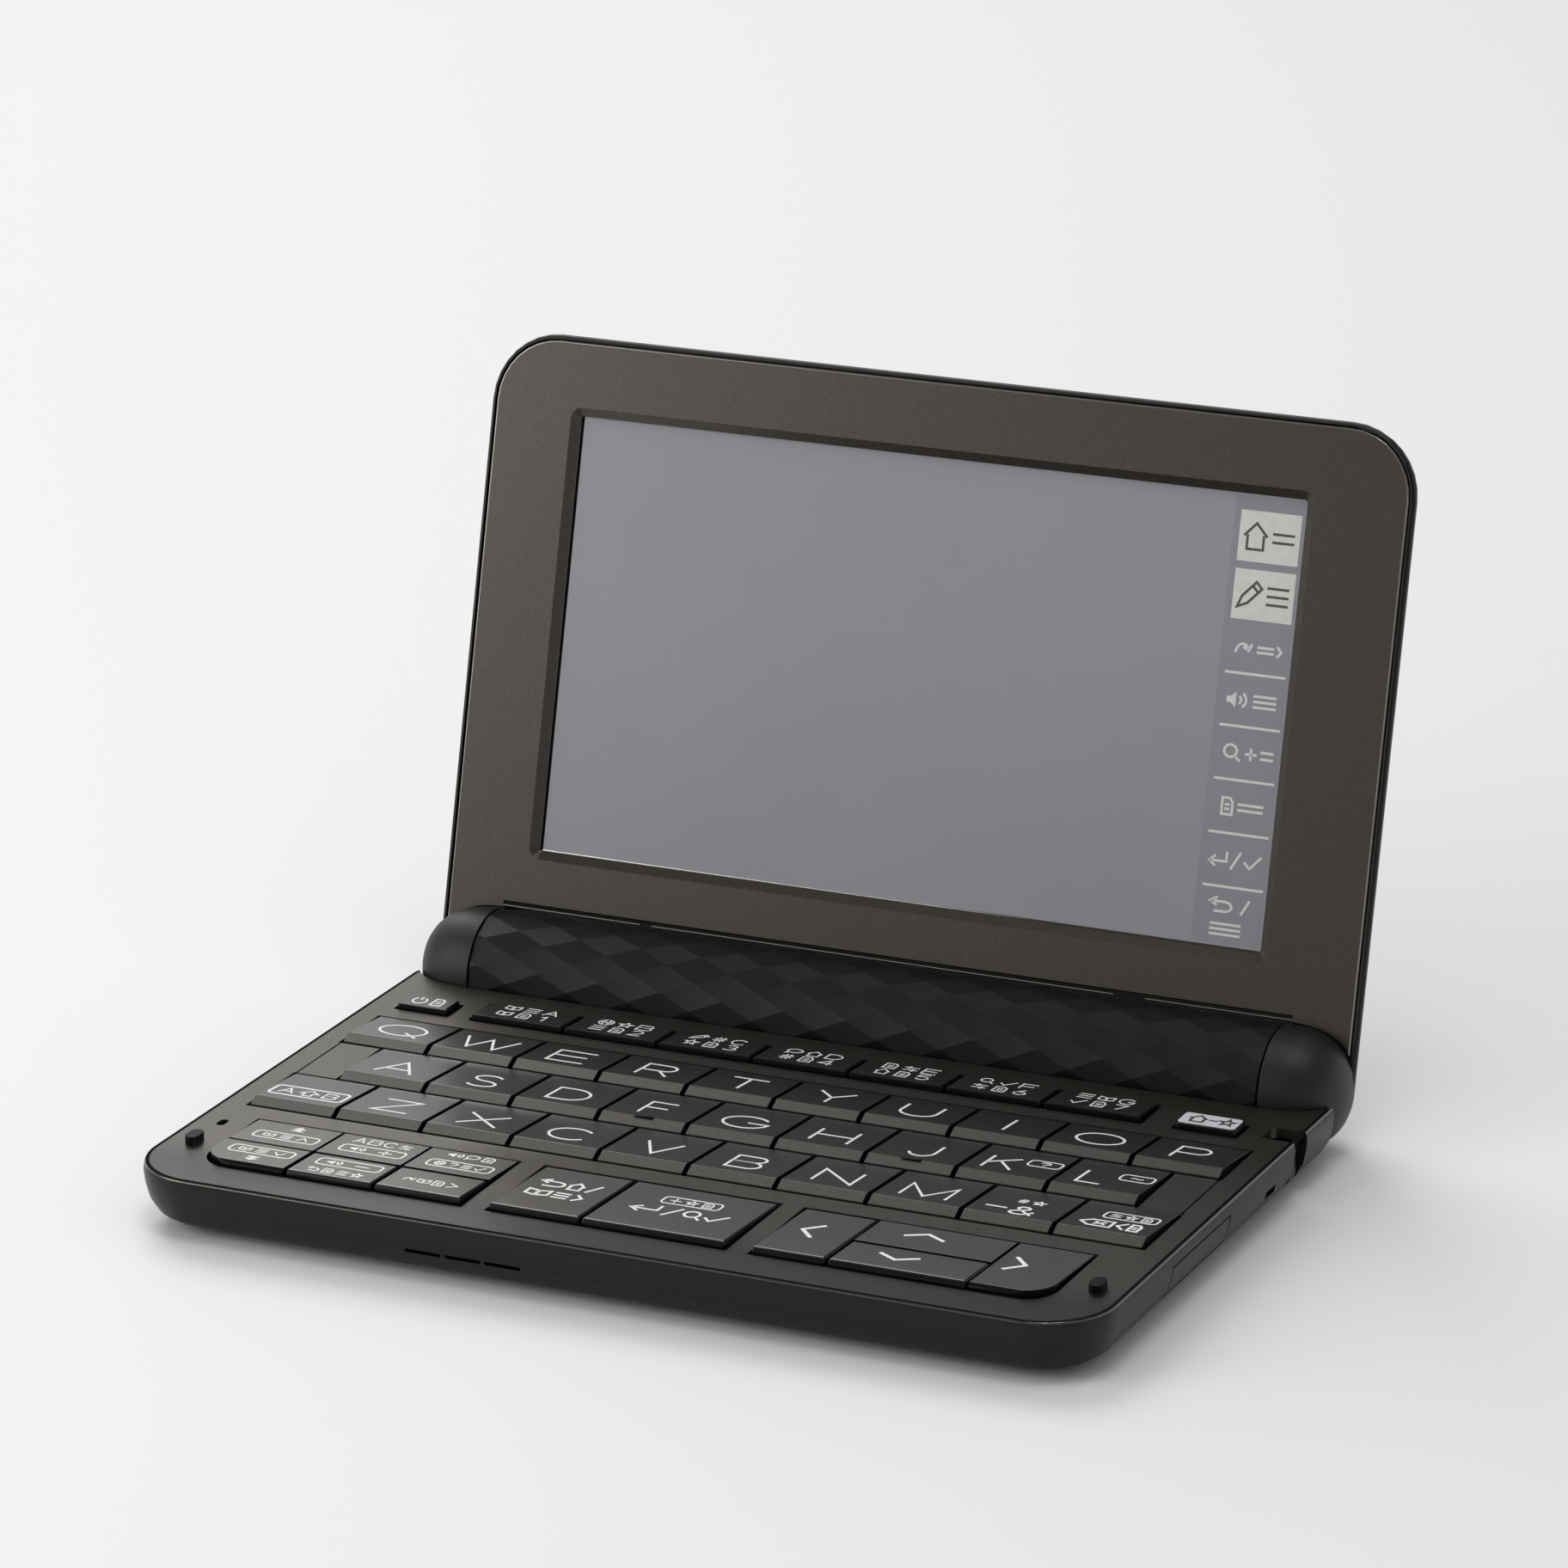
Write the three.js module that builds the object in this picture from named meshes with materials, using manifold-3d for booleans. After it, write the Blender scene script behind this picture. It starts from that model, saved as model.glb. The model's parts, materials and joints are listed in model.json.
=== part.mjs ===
// An electronic dictionary, built as its separate pieces: a base with keys, and a lid with a
// display that turns about the battery barrel.
// Millimetres. X runs across the keyboard, Y from the user to the hinge, Z up from the table.
// While the pieces are built, Y is zero at the front of the case and the lid lies closed
// about its own hinge axis. The last lines open the lid and centre the whole.

import * as THREE from "three";
import { mergeVertices } from "three/addons/utils/BufferGeometryUtils.js";
import Module from "manifold-3d";

const wasm = await Module();
wasm.setup();

// Clearances
const partGap = 0.3;
const seamGap = 0.25;
const hingeGap = 0.35;
const weldGap = 0.0001;
const overrun = 2;

// Cells, and the barrel round them
const cellRadius = 7.25;
const cellLength = 50.5;
const cellNub = 1;
const cellNubRadius = 2.75;
const cellShoulder = 0.6;
const cellGap = 0.35;
const springRoom = 2.5;
const barrelWall = 1.5;
const barrelEndWall = 10.4;
const barrelRise = 0.2;
const facetPitch = 10.15;
const facetRows = 26;
const facetTurn = THREE.MathUtils.degToRad(6);
const facetShift = 3.8;
const coverOverCells = 1.5;
const coverWall = 0.9;
const coverLowAngle = THREE.MathUtils.degToRad(-88);
const coverHighAngle = THREE.MathUtils.degToRad(-8);
const barrelRadius = cellRadius + cellGap + barrelWall;
const barrelEnd = cellLength + springRoom + barrelEndWall;
const facetColumns = 2 * Math.ceil(barrelEnd / facetPitch) + 2;
const hingeHeight = barrelRadius + barrelRise;

// Hinge pins and the domed knuckles of the lid
const pinRadius = 2;
const pinSeatInBarrel = 7.4;
const pinSeatInDome = 6.9;
const domeLength = 10.6;
const domePowerShare = 2.5;
const domeRings = 9;
const domeProud = 0.25;
const domeStart = barrelEnd + hingeGap;

// Bottom case
const caseWidth = 2 * (domeStart + domeLength - domeProud);
const caseTop = 9.3;
const footHeight = 0.9;
const caseCorner = 10.6;
const smallestCorner = 0.6;
const lipWidth = 0.6;
const wallInset = 2.4;
const lowerWallInset = 3.2;
const floorInset = 5.5;
const floorThickness = 1.4;
const rearWall = 1.4;
const bossRadius = 2.2;
const bossSideInset = 12;
const bossFrontInset = 14;
const bossBeforeStylus = 11;
const tuckInset = 5.6;
// Height and inset of the rounded wall, as shares of its height and of the tuck inset
const wallShares = [[0, 1], [0.045, 0.62], [0.17, 0.33], [0.4, 0.12], [0.65, 0.03], [0.87, 0], [1, 0.04]];
const lowerWallShare = 0.4;

// Top case
const plateThickness = 1.5;
const pegLength = 3.4;
const pegWidth = 2;
const pegHeight = 1.2;
const pegFromSide = 4.6;
const pegFromFront = 14.5;
const ovalLength = 2.4;
const ovalWidth = 1.3;
const ovalBehindPeg = 8.1;

// All keys
const keyGap = 0.45;
const keyTravel = 0.8;
const keyBackRise = 0.05;
const keyFrontRise = 1;
const keyBevelRun = 1.7;
const keyBevelFoot = 0.15;
const keyTopOverPlateBottom = 0.1;
const blankGroove = 0.3;
const blankGrooveDepth = 0.35;
const keyboardSideMargin = 4.45;
const keyboardWidth = caseWidth - 2 * keyboardSideMargin;
const keyboardLeft = -keyboardWidth / 2;

// Front keys: two rows in three groups. Places and widths along X are shares of the keyboard
const frontKeysFront = 7.4;
const frontRowDepths = [9, 9.4];
const frontKeyRound = 0.5;
const rearKeyRound = 0.1;
const frontKeyCorner = 5;
const clusterLeftShare = 0.031;
const clusterPitchShare = 0.1005;
const returnLeftShare = 0.361;
const returnWidthShare = 0.103;
const enterWidthShare = 0.16;
const cursorLeftShare = 0.65;
const cursorSideShare = 0.082;
const cursorMiddleShare = 0.15;
const frontKeysSplit = frontKeysFront + frontRowDepths[0];
const frontKeysBack = frontKeysSplit + frontRowDepths[1];

// Letter keys: three rows
const letterColumns = 10;
const letterRowsBehindFrontKeys = 4.4;
const rowPitch = 14.1;
const topRowDepth = 12.1;
const letterPitch = keyboardWidth / letterColumns;
const lowestRowFront = frontKeysBack + letterRowsBehindFrontKeys;
const lettersBack = lowestRowFront + 2 * rowPitch + topRowDepth;

// Upper keys: power, the category strip and home
const upperKeysBehindLetters = 3.8;
const upperKeyDepth = 5;
const categoryDepth = 7.6;
const upperKeyRise = 0.9;
const powerLeftShare = 0.0045;
const powerWidthShare = 0.063;
const categoryLeftShare = 0.0935;
const categoryPitchShare = 0.1104;
const categoryCount = 7;
const categoryGroove = 0.5;
const homeLeftShare = 0.901;
const homeWidthShare = 0.07;
const upperKeysFront = lettersBack + upperKeysBehindLetters;
const upperKeysBack = upperKeysFront + upperKeyDepth;
const categoryBack = upperKeysFront + categoryDepth;

// Depth of the whole, from the keys and the barrel behind them
const barrelBehindKeys = 5.2;
const caseBehindAxis = -5.2;
const hingeFromFront = categoryBack + barrelBehindKeys + barrelRadius;
const caseRear = hingeFromFront + caseBehindAxis;
const cavityRear = hingeFromFront - barrelRadius - hingeGap - rearWall;

// Key mat and circuit board
const matThickness = 0.5;
const matSideInset = 7;
const matFrontInset = 6.6;
const bumpHeight = 0.25;
const bumpRadius = 2;
const bumpSides = 6;
const boardThickness = 1;
const boardSideInset = 6.4;
const boardFrontInset = 7.6;
const boardRearGap = 1.35;
const chipHeight = 0.7;
const chipWidth = 12;
const chipShares = [-0.5, 0, 0.45];
const connectorLength = 7.6;
const connectorDepth = 5.2;

// Stylus and its slot
const stylusRadius = 1.45;
const stylusHeadRadius = 1.7;
const stylusLength = 78;
const stylusHeadLength = 4;
const stylusTip = 4;
const stylusTipRadius = 0.5;
const stylusHeadInset = 1.4;
const notchInset = 5.3;
const notchWidth = 4.6;
const notchCorner = 1.4;
const channelWall = 0.8;
const stylusBeforeKeysBack = 1.2;
const stylusFromFront = upperKeysBack - stylusBeforeKeysBack;

// Openings in the walls of the bottom case
const portCoverFront = 30.2;
const portCoverLength = 21;
const portCoverLow = 2.9;
const portCoverThickness = 2.4;
const speakerSlotLength = 5.5;
const speakerSlotHeight = 0.6;
const speakerSlotPitch = 6.2;
const speakerSlotCount = 3;
const speakerSlotLeft = -28.6;
const speakerSlotRise = 4.05;
const sideSlotLength = 3.6;
const sideSlotHeight = 1.2;
const sideSlotBeforeStylus = 12.4;
const sideSlotRise = 4.2;

// Feet
const footInset = 20;
const footWidth = 5;
const footFromFront = 9;
const footFromRear = 3.5;

// Lid
const lidAngle = THREE.MathUtils.degToRad(105);
const lidLength = hingeFromFront;
const lidInnerOffset = 1.7;
const lidThickness = 5.2;
const lidCorner = 10.6;
const lidLipWidth = 0.6;
const lidWallInset = 1.9;
const lidFloorInset = 4.6;
const lidFloorThickness = 1.1;
const lidTuckInset = 5;
// Depth and inset of the lid's rounded edge, as shares of its thickness and of its tuck inset
const lidEdgeShares = [[0, 0.04], [0.14, 0], [0.4, 0.05], [0.66, 0.2], [0.86, 0.48], [1, 1]];
const cavityOverNotch = 3.5;
const lipWrap = 1.7;
const bezelInset = 0.85;
const bezelThickness = 0.9;
const bezelOverBarrel = 1.1;
const screenSideBorder = 15.6;
const screenTopBorder = 11.9;
const screenOverBarrel = 9.2;
const screenSideShift = -0.8;
const windowBevel = 1.3;
const panelMargin = 2.4;
const panelThickness = 2.3;

// Steps round curves
const cornerSteps = 8;
const roundSegments = 32;
const cutSegments = 48;

// Heights through the case, from the top plate down
const plateInset = lipWidth + seamGap;
const plateBottom = caseTop - plateThickness;
const ledgeHeight = plateBottom - partGap;
const wallHeight = caseTop - footHeight;
const floorTop = footHeight + floorThickness;
const keyBottom = plateBottom + keyTopOverPlateBottom;
const bumpTop = keyBottom - keyTravel - partGap;
const matTop = bumpTop - bumpHeight;
const matBottom = matTop - matThickness;
const boardTop = matBottom - partGap;
const boardBottom = boardTop - boardThickness;
const stylusHeight = floorTop + 2 * partGap + stylusRadius;
const channelHalfWidth = stylusRadius + partGap + channelWall;
const boardRear = stylusFromFront - channelHalfWidth - boardRearGap;
const portCoverHigh = ledgeHeight - partGap;

// Places along the lid, from the hinge axis
const lidBottom = barrelRadius + hingeGap;
const lidLipEdge = barrelRadius - lipWrap;
const bezelNotchEdge = barrelRadius + bezelOverBarrel;
const cavityBottom = lidBottom + cavityOverNotch;
const screenBottom = barrelRadius + screenOverBarrel;
const screenHeight = lidLength - screenTopBorder - screenBottom;
const screenWidth = caseWidth - 2 * screenSideBorder;
const lidOuter = lidInnerOffset + lidThickness;
const bezelBack = lidInnerOffset + bezelThickness;

const colours = {
  shell: 0x2b2a27,
  plate: 0x56524b,
  barrel: 0x2a2a27,
  key: 0x35332f,
  darkKey: 0x1f1f1f,
  white: 0xd8d8d4,
  screen: 0x7f8388,
  rubber: 0x202020,
  board: 0x1f5a38,
  steel: 0xb5b7ba,
  cell: 0x9a7b3a,
};

function plastic(colour, roughness = 0.6, metalness = 0) {
  return new THREE.MeshStandardMaterial({ color: colour, roughness, metalness });
}

// Solids and cuts

function solid(geometry) {
  const bare = geometry.clone();
  bare.deleteAttribute("normal");
  bare.deleteAttribute("uv");
  const merged = mergeVertices(bare, weldGap);
  return new wasm.Manifold(new wasm.Mesh({
    numProp: 3,
    vertProperties: new Float32Array(merged.attributes.position.array),
    triVerts: new Uint32Array(merged.index.array),
  }));
}

function surface(manifold) {
  const mesh = manifold.getMesh();
  const geometry = new THREE.BufferGeometry();
  const positions = new Float32Array(mesh.vertProperties);
  geometry.setAttribute("position", new THREE.BufferAttribute(positions, 3));
  geometry.setIndex(new THREE.BufferAttribute(new Uint32Array(mesh.triVerts), 1));
  geometry.computeVertexNormals();
  return geometry;
}

function piece(name, manifold, material) {
  const mesh = new THREE.Mesh(surface(manifold), material);
  mesh.name = name;
  return mesh;
}

function box(xLow, xHigh, yLow, yHigh, zLow, zHigh) {
  const geometry = new THREE.BoxGeometry(xHigh - xLow, yHigh - yLow, zHigh - zLow);
  geometry.translate((xLow + xHigh) / 2, (yLow + yHigh) / 2, (zLow + zHigh) / 2);
  return solid(geometry);
}

function rodAlongX(radius, xLow, xHigh, segments = roundSegments) {
  const geometry = new THREE.CylinderGeometry(radius, radius, xHigh - xLow, segments);
  geometry.rotateZ(Math.PI / 2);
  geometry.translate((xLow + xHigh) / 2, 0, 0);
  return solid(geometry);
}

function rodAlongZ(radius, x, y, zLow, zHigh, segments) {
  const geometry = new THREE.CylinderGeometry(radius, radius, zHigh - zLow, segments);
  geometry.rotateX(Math.PI / 2);
  geometry.translate(x, y, (zLow + zHigh) / 2);
  return solid(geometry);
}

// Turns a profile of [radius, x] points about the X axis
function turnedAlongX(profile, segments = roundSegments) {
  const points = profile.map(([radius, x]) => new THREE.Vector2(radius, x));
  const geometry = new THREE.LatheGeometry(points, segments);
  geometry.rotateZ(-Math.PI / 2);
  return solid(geometry);
}

// Extrudes an outline drawn in Y and Z along X
function extrudedAlongX(outline, xLow, xHigh) {
  const shape = new THREE.Shape(outline.map(([y, z]) => new THREE.Vector2(y, z)));
  const geometry = new THREE.ExtrudeGeometry(shape, { depth: xHigh - xLow, bevelEnabled: false });
  const axes = new THREE.Matrix4().makeBasis(
    new THREE.Vector3(0, 1, 0), new THREE.Vector3(0, 0, 1), new THREE.Vector3(1, 0, 0));
  geometry.applyMatrix4(axes);
  geometry.translate(xLow, 0, 0);
  return solid(geometry);
}

// Extrudes an outline drawn in X and Y up along Z
function extrudedAlongZ(outline, zLow, zHigh) {
  const shape = new THREE.Shape(outline.map(([x, y]) => new THREE.Vector2(x, y)));
  const geometry = new THREE.ExtrudeGeometry(shape, { depth: zHigh - zLow, bevelEnabled: false });
  geometry.translate(0, 0, zLow);
  return solid(geometry);
}

// An outline with four rounded corners, anticlockwise from the front right
function roundedOutline(xLow, xHigh, yLow, yHigh, frontLeft, frontRight, backRight, backLeft) {
  const corners = [
    [xHigh - frontRight, yLow + frontRight, frontRight, -Math.PI / 2],
    [xHigh - backRight, yHigh - backRight, backRight, 0],
    [xLow + backLeft, yHigh - backLeft, backLeft, Math.PI / 2],
    [xLow + frontLeft, yLow + frontLeft, frontLeft, Math.PI],
  ];
  const points = [];
  for (const [x, y, radius, start] of corners) {
    const count = radius > 0 ? cornerSteps : 0;
    for (let i = 0; i <= count; i += 1) {
      const angle = start + (Math.PI / 2) * (count > 0 ? i / count : 0);
      points.push([x + radius * Math.cos(angle), y + radius * Math.sin(angle)]);
    }
  }
  return points;
}

function roundedBlock(xLow, xHigh, yLow, yHigh, radius, zLow, zHigh) {
  return extrudedAlongZ(
    roundedOutline(xLow, xHigh, yLow, yHigh, radius, radius, radius, radius), zLow, zHigh);
}

// Joins rings of equal point count into one closed body, capped at its first and last ring
function lofted(rings) {
  const count = rings[0].length;
  const positions = rings.flat(2);
  const faces = [];
  for (let ring = 0; ring + 1 < rings.length; ring += 1) {
    for (let i = 0; i < count; i += 1) {
      const a = ring * count + i;
      const b = ring * count + ((i + 1) % count);
      faces.push(a, b, b + count, a, b + count, a + count);
    }
  }
  const last = (rings.length - 1) * count;
  for (let i = 1; i + 1 < count; i += 1) {
    faces.push(0, i + 1, i);
    faces.push(last, last + i, last + i + 1);
  }
  const geometry = new THREE.BufferGeometry();
  geometry.setAttribute("position", new THREE.Float32BufferAttribute(positions, 3));
  geometry.setIndex(faces);
  return solid(geometry);
}

// Hinge envelope: the barrel and both knuckle domes, grown by a gap, about the X axis

function domeProfile(grow) {
  const profile = [];
  for (let ring = 0; ring <= domeRings; ring += 1) {
    const angle = (Math.PI / 2) * (ring / domeRings);
    const along = Math.sin(angle) ** (2 / domePowerShare);
    const across = Math.cos(angle) ** (2 / domePowerShare);
    const radius = ring < domeRings ? (barrelRadius + grow) * across : 0;
    profile.push([radius, domeStart + (domeLength + grow) * along]);
  }
  return profile;
}

function hingeEnvelope(grow) {
  const right = domeProfile(grow);
  const left = right.map(([radius, x]) => [radius, -x]).reverse();
  return turnedAlongX([...left, ...right], cutSegments);
}

function atHinge(manifold) {
  return manifold.translate([0, hingeFromFront, hingeHeight]);
}

// Bottom case

function caseRing(inset, z) {
  const front = Math.max(caseCorner - inset, smallestCorner);
  const half = caseWidth / 2 - inset;
  return roundedOutline(-half, half, inset, caseRear, front, front, 0, 0)
    .map(([x, y]) => [x, y, z]);
}

function caseOuterRings() {
  return wallShares.map(([height, inset]) =>
    caseRing(tuckInset * inset, footHeight + wallHeight * height));
}

function cavityRing(inset, z) {
  const corner = Math.max(caseCorner - inset, smallestCorner);
  const half = caseWidth / 2 - inset;
  return roundedOutline(-half, half, inset, cavityRear, corner, corner, smallestCorner, smallestCorner)
    .map(([x, y]) => [x, y, z]);
}

function caseCavity() {
  const seat = lofted([cavitySeatRing(ledgeHeight), cavitySeatRing(caseTop + overrun)]);
  const room = lofted([
    cavityRing(floorInset, floorTop),
    cavityRing(lowerWallInset, footHeight + wallHeight * lowerWallShare),
    cavityRing(wallInset, ledgeHeight + partGap),
  ]);
  return seat.add(room);
}

// The recess that the top plate lies in runs out through the rear of the case
function cavitySeatRing(z) {
  const corner = caseCorner - lipWidth;
  const half = caseWidth / 2 - lipWidth;
  return roundedOutline(-half, half, lipWidth, caseRear + overrun, corner, corner, 0, 0)
    .map(([x, y]) => [x, y, z]);
}

function stylusNotch() {
  const right = caseWidth / 2;
  return extrudedAlongZ(roundedOutline(
    right - notchInset, right + overrun,
    stylusFromFront - notchWidth / 2, stylusFromFront + notchWidth / 2,
    0, 0, 0, notchCorner), floorTop, caseTop + overrun);
}

function stylusChannel() {
  const left = caseWidth / 2 - stylusHeadInset - stylusLength - channelWall - partGap;
  const right = caseWidth / 2 - notchInset + channelWall;
  const block = box(left, right, stylusFromFront - channelHalfWidth, stylusFromFront + channelHalfWidth,
    footHeight + floorThickness / 2, stylusHeight);
  const bore = rodAlongX(stylusRadius + partGap, left + channelWall, right + overrun, cutSegments)
    .translate([0, stylusFromFront, stylusHeight]);
  return block.subtract(bore);
}

function portCoverSpace(grow) {
  return box(
    caseWidth / 2 - portCoverThickness - grow, caseWidth / 2 + overrun,
    portCoverFront - grow, portCoverFront + portCoverLength + grow,
    portCoverLow - grow, portCoverHigh + grow);
}

// The connector on the circuit board reaches through the wall to the back of the port cover
function connector(grow) {
  const middle = portCoverFront + portCoverLength / 2;
  return box(
    caseWidth / 2 - boardSideInset - connectorDepth - grow,
    caseWidth / 2 - portCoverThickness - 2 * partGap + 2 * grow,
    middle - connectorLength / 2 - grow, middle + connectorLength / 2 + grow,
    floorTop + 2 * partGap - grow, boardBottom + boardThickness / 2 + grow);
}

function bosses() {
  const places = [];
  for (const side of [-1, 1]) {
    places.push([side * (caseWidth / 2 - bossSideInset), bossFrontInset]);
    places.push([side * (caseWidth / 2 - bossSideInset), stylusFromFront - bossBeforeStylus]);
  }
  const root = footHeight + floorThickness / 2;
  return places.map(([x, y]) =>
    rodAlongZ(bossRadius, x, y, root, boardBottom - partGap, roundSegments / 2));
}

function speakerSlots() {
  const slots = [];
  for (let i = 0; i < speakerSlotCount; i += 1) {
    const left = speakerSlotLeft + i * speakerSlotPitch;
    slots.push(box(left, left + speakerSlotLength, -overrun, floorInset,
      speakerSlotRise, speakerSlotRise + speakerSlotHeight));
  }
  return slots;
}

function sideSlot() {
  const front = stylusFromFront - sideSlotBeforeStylus;
  return box(caseWidth / 2 - floorInset, caseWidth / 2 + overrun,
    front, front + sideSlotLength, sideSlotRise, sideSlotRise + sideSlotHeight);
}

function bottomCase() {
  let body = lofted(caseOuterRings()).subtract(caseCavity());
  body = body.add(stylusChannel());
  for (const boss of bosses()) body = body.add(boss);
  for (const slot of speakerSlots()) body = body.subtract(slot);
  body = body.subtract(sideSlot());
  body = body.subtract(stylusNotch());
  body = body.subtract(portCoverSpace(seamGap));
  body = body.subtract(connector(partGap));
  body = body.subtract(atHinge(hingeEnvelope(hingeGap)));
  return piece("bottom_case", body, plastic(colours.shell));
}

function portCover() {
  const body = lofted(caseOuterRings()).intersect(portCoverSpace(0));
  return piece("port_cover", body, plastic(colours.shell));
}

// Key places: each key is [name, left, right, front, back] with half a key gap on every side

function rowKeys(names, row, firstColumn, depth) {
  const front = lowestRowFront + row * rowPitch;
  return names.map((name, i) => [
    name,
    keyboardLeft + (firstColumn + i) * letterPitch,
    keyboardLeft + (firstColumn + i + 1) * letterPitch,
    front,
    front + depth,
  ]);
}

const letterKeys = [
  ...rowKeys([..."qwertyuiop"].map((letter) => `key_${letter}`), 2, 0, topRowDepth),
  ...rowKeys([..."asdfghjkl"].map((letter) => `key_${letter}`), 1, 1 / 2, rowPitch),
  ...rowKeys(
    ["shift_key", ...[..."zxcvbnm"].map((letter) => `key_${letter}`), "symbol_key", "delete_key"],
    0, 0, rowPitch),
];

// Places along X from shares of the keyboard width
function along(share) {
  return keyboardLeft + keyboardWidth * share;
}

function frontColumn(leftShare, rightShare, backName, frontName) {
  return [
    [backName, along(leftShare), along(rightShare), frontKeysSplit, frontKeysBack],
    [frontName, along(leftShare), along(rightShare), frontKeysFront, frontKeysSplit],
  ];
}

function deepKey(name, leftShare, rightShare) {
  return [name, along(leftShare), along(rightShare), frontKeysFront, frontKeysBack];
}

const clusterShares = [0, 1, 2, 3].map((column) => clusterLeftShare + column * clusterPitchShare);
const enterLeftShare = returnLeftShare + returnWidthShare;
const enterRightShare = enterLeftShare + enterWidthShare;
const cursorMiddleLeftShare = cursorLeftShare + cursorSideShare;
const cursorMiddleRightShare = cursorMiddleLeftShare + cursorMiddleShare;
const cursorRightShare = cursorMiddleRightShare + cursorSideShare;

const frontKeys = [
  ...frontColumn(clusterShares[0], clusterShares[1], "previous_key", "next_key"),
  ...frontColumn(clusterShares[1], clusterShares[2], "volume_up_key", "volume_down_key"),
  ...frontColumn(clusterShares[2], clusterShares[3], "guide_key", "jump_key"),
  deepKey("return_key", returnLeftShare, enterLeftShare),
  deepKey("enter_key", enterLeftShare, enterRightShare),
  deepKey("cursor_left_key", cursorLeftShare, cursorMiddleLeftShare),
  ...frontColumn(cursorMiddleLeftShare, cursorMiddleRightShare, "cursor_up_key", "cursor_down_key"),
  deepKey("cursor_right_key", cursorMiddleRightShare, cursorRightShare),
];

// Left, right, and the radii of the front left and front right corners of each group
const frontGroups = [
  [along(clusterShares[0]), along(clusterShares[3]), frontKeyCorner, 0],
  [along(returnLeftShare), along(enterRightShare), 0, 0],
  [along(cursorLeftShare), along(cursorRightShare), 0, frontKeyCorner],
];

const categoryShares = Array.from(
  { length: categoryCount + 1 }, (_, i) => categoryLeftShare + i * categoryPitchShare);

const upperKeys = [
  ["power_key", along(powerLeftShare), along(powerLeftShare + powerWidthShare), upperKeysBack],
  ["category_key_strip", along(categoryShares[0]), along(categoryShares[categoryCount]),
    categoryBack],
  ["home_key", along(homeLeftShare), along(homeLeftShare + homeWidthShare), upperKeysBack],
];

// Keys

// A letter key rises from its back edge to a crease and falls again along its front bevel
function letterKey([name, left, right, front, back]) {
  const half = keyGap / 2;
  const outline = [
    [front + half, keyBottom],
    [back - half, keyBottom],
    [back - half, caseTop + keyBackRise],
    [front + half + keyBevelRun, caseTop + keyFrontRise],
    [front + half, caseTop + keyBevelFoot],
  ];
  return piece(name, extrudedAlongX(outline, left + half, right - half), plastic(colours.key));
}

// The tops of the front keys lie in one slope, which rises towards the user
function frontKeyTop(y) {
  const share = (frontKeysBack - y) / (frontKeysBack - frontKeysFront);
  return caseTop + keyBackRise + (keyFrontRise - keyBackRise) * share;
}

// A front key is a slice of that slope, with a deep chamfer where the row ends
function frontKey([name, left, right, front, back]) {
  const half = keyGap / 2;
  const round = front === frontKeysFront ? frontKeyRound : rearKeyRound;
  const outline = [
    [front + half, keyBottom],
    [back - half, keyBottom],
    [back - half, frontKeyTop(back - half)],
    [front + half + round, frontKeyTop(front + half + round)],
    [front + half, frontKeyTop(front + half) - round],
  ];
  let body = extrudedAlongX(outline, left + half, right - half);
  for (const [groupLeft, groupRight, leftCorner, rightCorner] of frontGroups) {
    if (left >= groupLeft && right <= groupRight) {
      body = body.intersect(extrudedAlongZ(roundedOutline(
        groupLeft + half, groupRight - half, frontKeysFront + half, frontKeysBack,
        leftCorner, rightCorner, 0, 0), footHeight, caseTop + overrun));
    }
  }
  return piece(name, body, plastic(colours.key));
}

function upperKey([name, left, right, back]) {
  const half = keyGap / 2;
  let body = roundedBlock(left + half, right - half,
    upperKeysFront + half, back - half, frontKeyRound,
    keyBottom, caseTop + upperKeyRise);
  if (name === "category_key_strip") {
    for (const share of categoryShares.slice(1, categoryCount)) {
      body = body.subtract(box(along(share) - categoryGroove / 2, along(share) + categoryGroove / 2,
        0, caseRear, caseTop, caseTop + overrun));
    }
  }
  return piece(name, body, plastic(name === "home_key" ? colours.white : colours.darkKey));
}

// Top case

function keyOpenings() {
  const half = keyGap / 2;
  const low = plateBottom - overrun;
  const high = caseTop + overrun;
  const openings = [];
  for (const [, left, right, front, back] of letterKeys) {
    openings.push(box(left - half, right + half, front - half, back + half, low, high));
  }
  for (const [left, right, leftCorner, rightCorner] of frontGroups) {
    openings.push(extrudedAlongZ(roundedOutline(left - half, right + half, frontKeysFront - half,
      frontKeysBack + half, leftCorner, rightCorner, 0, 0), low, high));
  }
  for (const [, left, right, back] of upperKeys) {
    openings.push(roundedBlock(left - half, right + half, upperKeysFront - half,
      back + half, frontKeyRound, low, high));
  }
  return openings;
}

// Grooves mark off the half-width blanks at both ends of the middle letter row
function blankGrooves() {
  const outer = keyboardWidth / 2;
  const inner = outer - letterPitch / 2;
  const front = lowestRowFront + rowPitch;
  const low = caseTop - blankGrooveDepth;
  const high = caseTop + overrun;
  const grooves = [];
  for (const [left, right] of [[-outer, -inner], [inner, outer]]) {
    const outline = box(left, right, front, front + rowPitch, low, high);
    grooves.push(outline.subtract(box(left + blankGroove, right - blankGroove,
      front + blankGroove, front + rowPitch - blankGroove, low - overrun, high + overrun)));
  }
  return grooves;
}

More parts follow.
